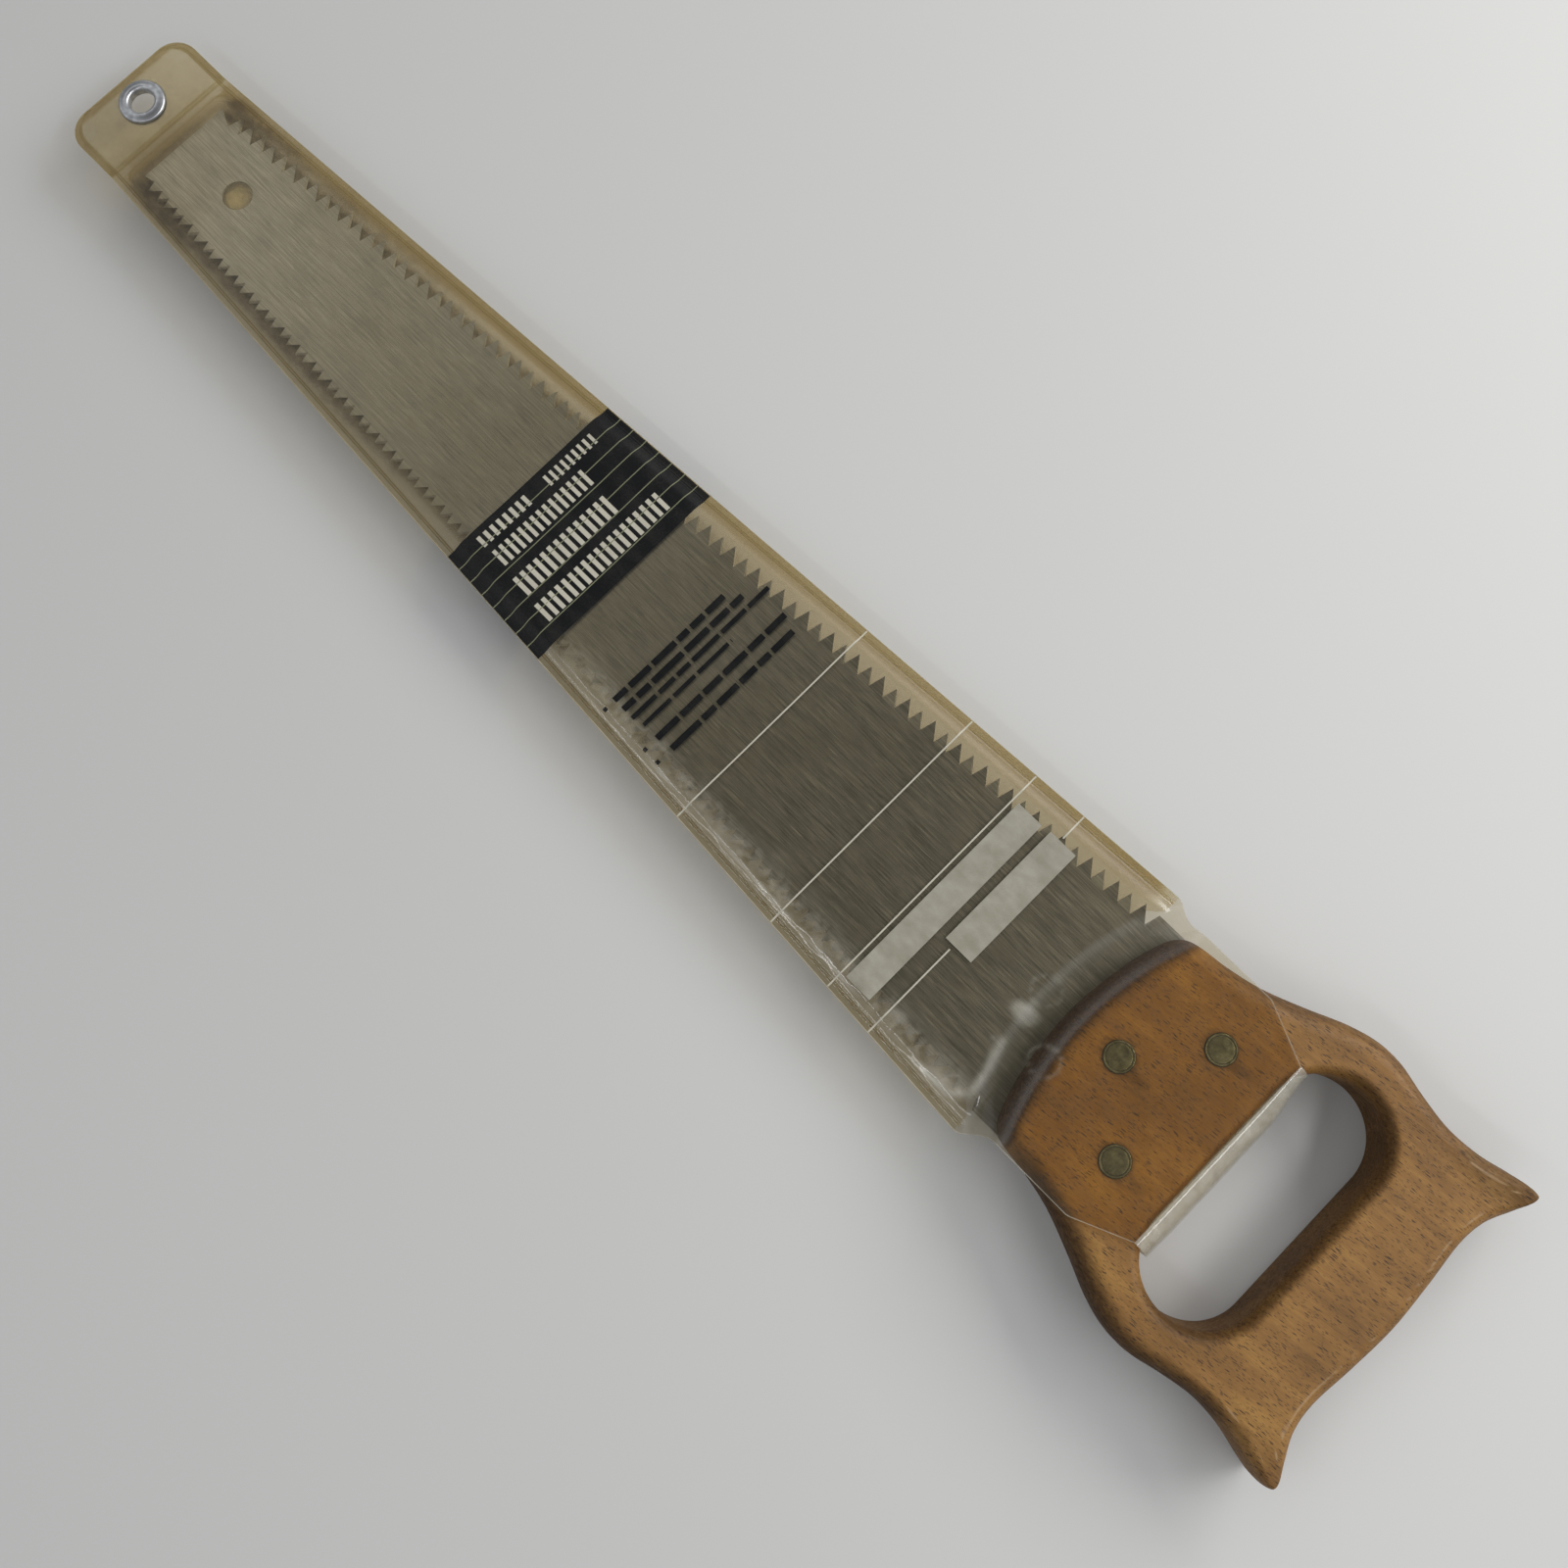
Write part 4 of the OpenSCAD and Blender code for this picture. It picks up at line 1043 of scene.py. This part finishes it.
def full_width(x0, x1, lift):
    """Strip of ink on the front film's outer face from one edge of the film to the other."""
    rows = stations(x0, x1, 1.3)
    x, y, y_in = film_grid(rows, front_half(rows), PRINT_STEP)
    y = y * (1 - PRINT_EDGE / front_half(x))
    return shell(*raised(x, y, top_of_film(x, y) + lift, INK))


def rule(x, y0, y1):
    """Fine line across the film, between two places or as far as the film's edges."""
    reach = float(front_half(x)) - PRINT_EDGE
    return laid(x, x + RULE_W, max(y0, -reach), min(y1, reach), step=1)


def broken_lines(lines):
    """Lines broken into plain bars of unequal length."""
    draw = np.random.default_rng(11)
    bars = []
    for x, y0, y1, height in lines:
        y = y0
        while y < y1:
            long = min(draw.uniform(4, 13), y1 - y)
            bars.append(laid(x, x + height, y, y + long))
            y += long + BAR_GAP
    return bars


def block_row(x, height, y0, y1, count):
    """A row of equal plain blocks."""
    pitch = (y1 - y0 + BLOCK_GAP) / count
    return [laid(x, x + height, y0 + pitch * k, y0 + pitch * (k + 1) - BLOCK_GAP, ON_BAND)
            for k in range(count)]


on_sleeve("print_band", full_width(BAND_X0, BAND_X1, GAP), BLACK_INK)
gold_lines = [full_width(x, x + GOLD_W, ON_BAND) for x in GOLD_X0 + GOLD_PITCH * np.arange(GOLD_COUNT)]
on_sleeve("print_gold_lines", together(*gold_lines), GOLD_INK)
on_sleeve("print_rules", together(*[rule(*places) for places in RULES]), WHITE_INK)
bullets = [laid(x, x + BULLET, BULLETS_Y, BULLETS_Y + BULLET) for x in BULLETS_X]
on_sleeve("print_text_bars", together(*broken_lines(BAR_LINES), *bullets), BLACK_INK)
blocks = [made for row in BLOCK_ROWS for made in block_row(*row)]
on_sleeve("print_white_blocks", together(*blocks), WHITE_INK)

for name in ("long", "short"):
    node = f"label_{name}_slip"
    x0, y0, x1, y1 = (side(node, corner, axis) for corner in (0, 1) for axis in (0, 1))
    on_sleeve(f"slip_{name}", laid(x0, x1, y0, y1, thick=SLIP_T), PAPER, "paper", stands_for=[node])


# STAGE


# Where the photograph was taken from: place, and the directions to the right and down in the picture.
CAMERA_AT = (0.104317, -0.0534, 0.43826)
CAMERA_RIGHT = (0.70358334, 0.71011312, -0.0266429)
CAMERA_DOWN = (0.69728409, -0.69712871, -0.16675268)
LENS, SENSOR = 33.366, 36


def place_at(made, at, right, up, back):
    """Puts a camera or a lamp into the scene at a place, with its axes along three directions."""
    turn = Matrix(np.stack([right, up, back], 1).tolist()).to_4x4()
    made.matrix_world = Matrix.Translation(at) @ turn
    bpy.context.collection.objects.link(made)


def photo_camera():
    """Camera at the photograph's viewing angle."""
    made = bpy.data.objects.new("camera", bpy.data.cameras.new("camera"))
    made.data.sensor_width = SENSOR
    made.data.lens = LENS
    made.data.clip_start = 0.01
    place_at(made, CAMERA_AT, CAMERA_RIGHT, -np.array(CAMERA_DOWN), np.cross(CAMERA_DOWN, CAMERA_RIGHT))
    bpy.context.scene.camera = made


def area_light(name, at, aim, size, power, tone=(1, 1, 1)):
    """Soft rectangular lamp turned towards a point."""
    made = bpy.data.objects.new(name, bpy.data.lights.new(name, "AREA"))
    made.data.shape = "RECTANGLE"
    made.data.size, made.data.size_y = size
    made.data.energy = power
    made.data.color = tone
    back = np.array(at, float) - np.array(aim)
    back /= np.linalg.norm(back)
    right = np.cross((0, 0, 1), back)
    right /= np.linalg.norm(right)
    place_at(made, at, right, np.cross(back, right), back)


def room_light():
    """Light from all round: brightest above the horizon on the toe's side, dim straight above, where the
    camera is held, and dim low beyond the toe."""
    world = bpy.data.worlds.new("room")
    world.use_nodes = True
    tree = world.node_tree
    tree.nodes.clear()
    way = add(tree, "TexCoord")["Generated"]
    parts = add(tree, "SeparateXYZ", {"Vector": way})
    overhead = (math.sin(0.17), 0, math.cos(0.17))
    nearness = add(tree, "VectorMath", (way, overhead), operation="DOT_PRODUCT")["Value"]
    strength = add(tree, "MapRange", (nearness, 0.7, 0.92, 0.63, 0.055))[0]
    for share in ((parts["Z"], 0.2, 0.65, 0.45, 1), (parts["X"], -0.95, -0.76, 0.15, 1),
                  (parts["X"], -0.35, -0.62, 1, 1.4)):
        part = add(tree, "MapRange", share)[0]
        strength = add(tree, "Math", (strength, part), operation="MULTIPLY")[0]
    sky = add(tree, "Background", {"Color": (0.97, 0.985, 1, 1), "Strength": strength})[0]
    add(tree, "OutputWorld", {"Surface": sky})
    bpy.context.scene.world = world


def floor():
    """Plain pale floor under the saw."""
    mesh = bpy.data.meshes.new("floor")
    wide = 12
    corners = [(-wide, -wide, 0), (wide, -wide, 0), (wide, wide, 0), (-wide, wide, 0)]
    mesh.from_pydata(corners, [], [(0, 1, 2, 3)])
    made = bpy.data.objects.new("floor", mesh)
    bpy.context.collection.objects.link(made)
    mesh.materials.append(plain_floor())


photo_camera()
room_light()
floor()
area_light("key", (0.4, 1, 0.6), (0.05, 0, 0), (1.4, 0.5), 12.5, (1, 0.985, 0.955))
area_light("window", (0.15, -0.6, 0.95), (0.1, 0, 0), (1.3, 0.05), 1.1)
area_light("far_window", (0.74, 0.28, 0.86), (0.2, 0, 0), (1, 0.14), 3)

scene = bpy.context.scene
scene.view_settings.view_transform = "Standard"
# A slanting ray through both films, the tongue and the strap meets more clear faces than the default of 8.
scene.cycles.transparent_max_bounces = 24
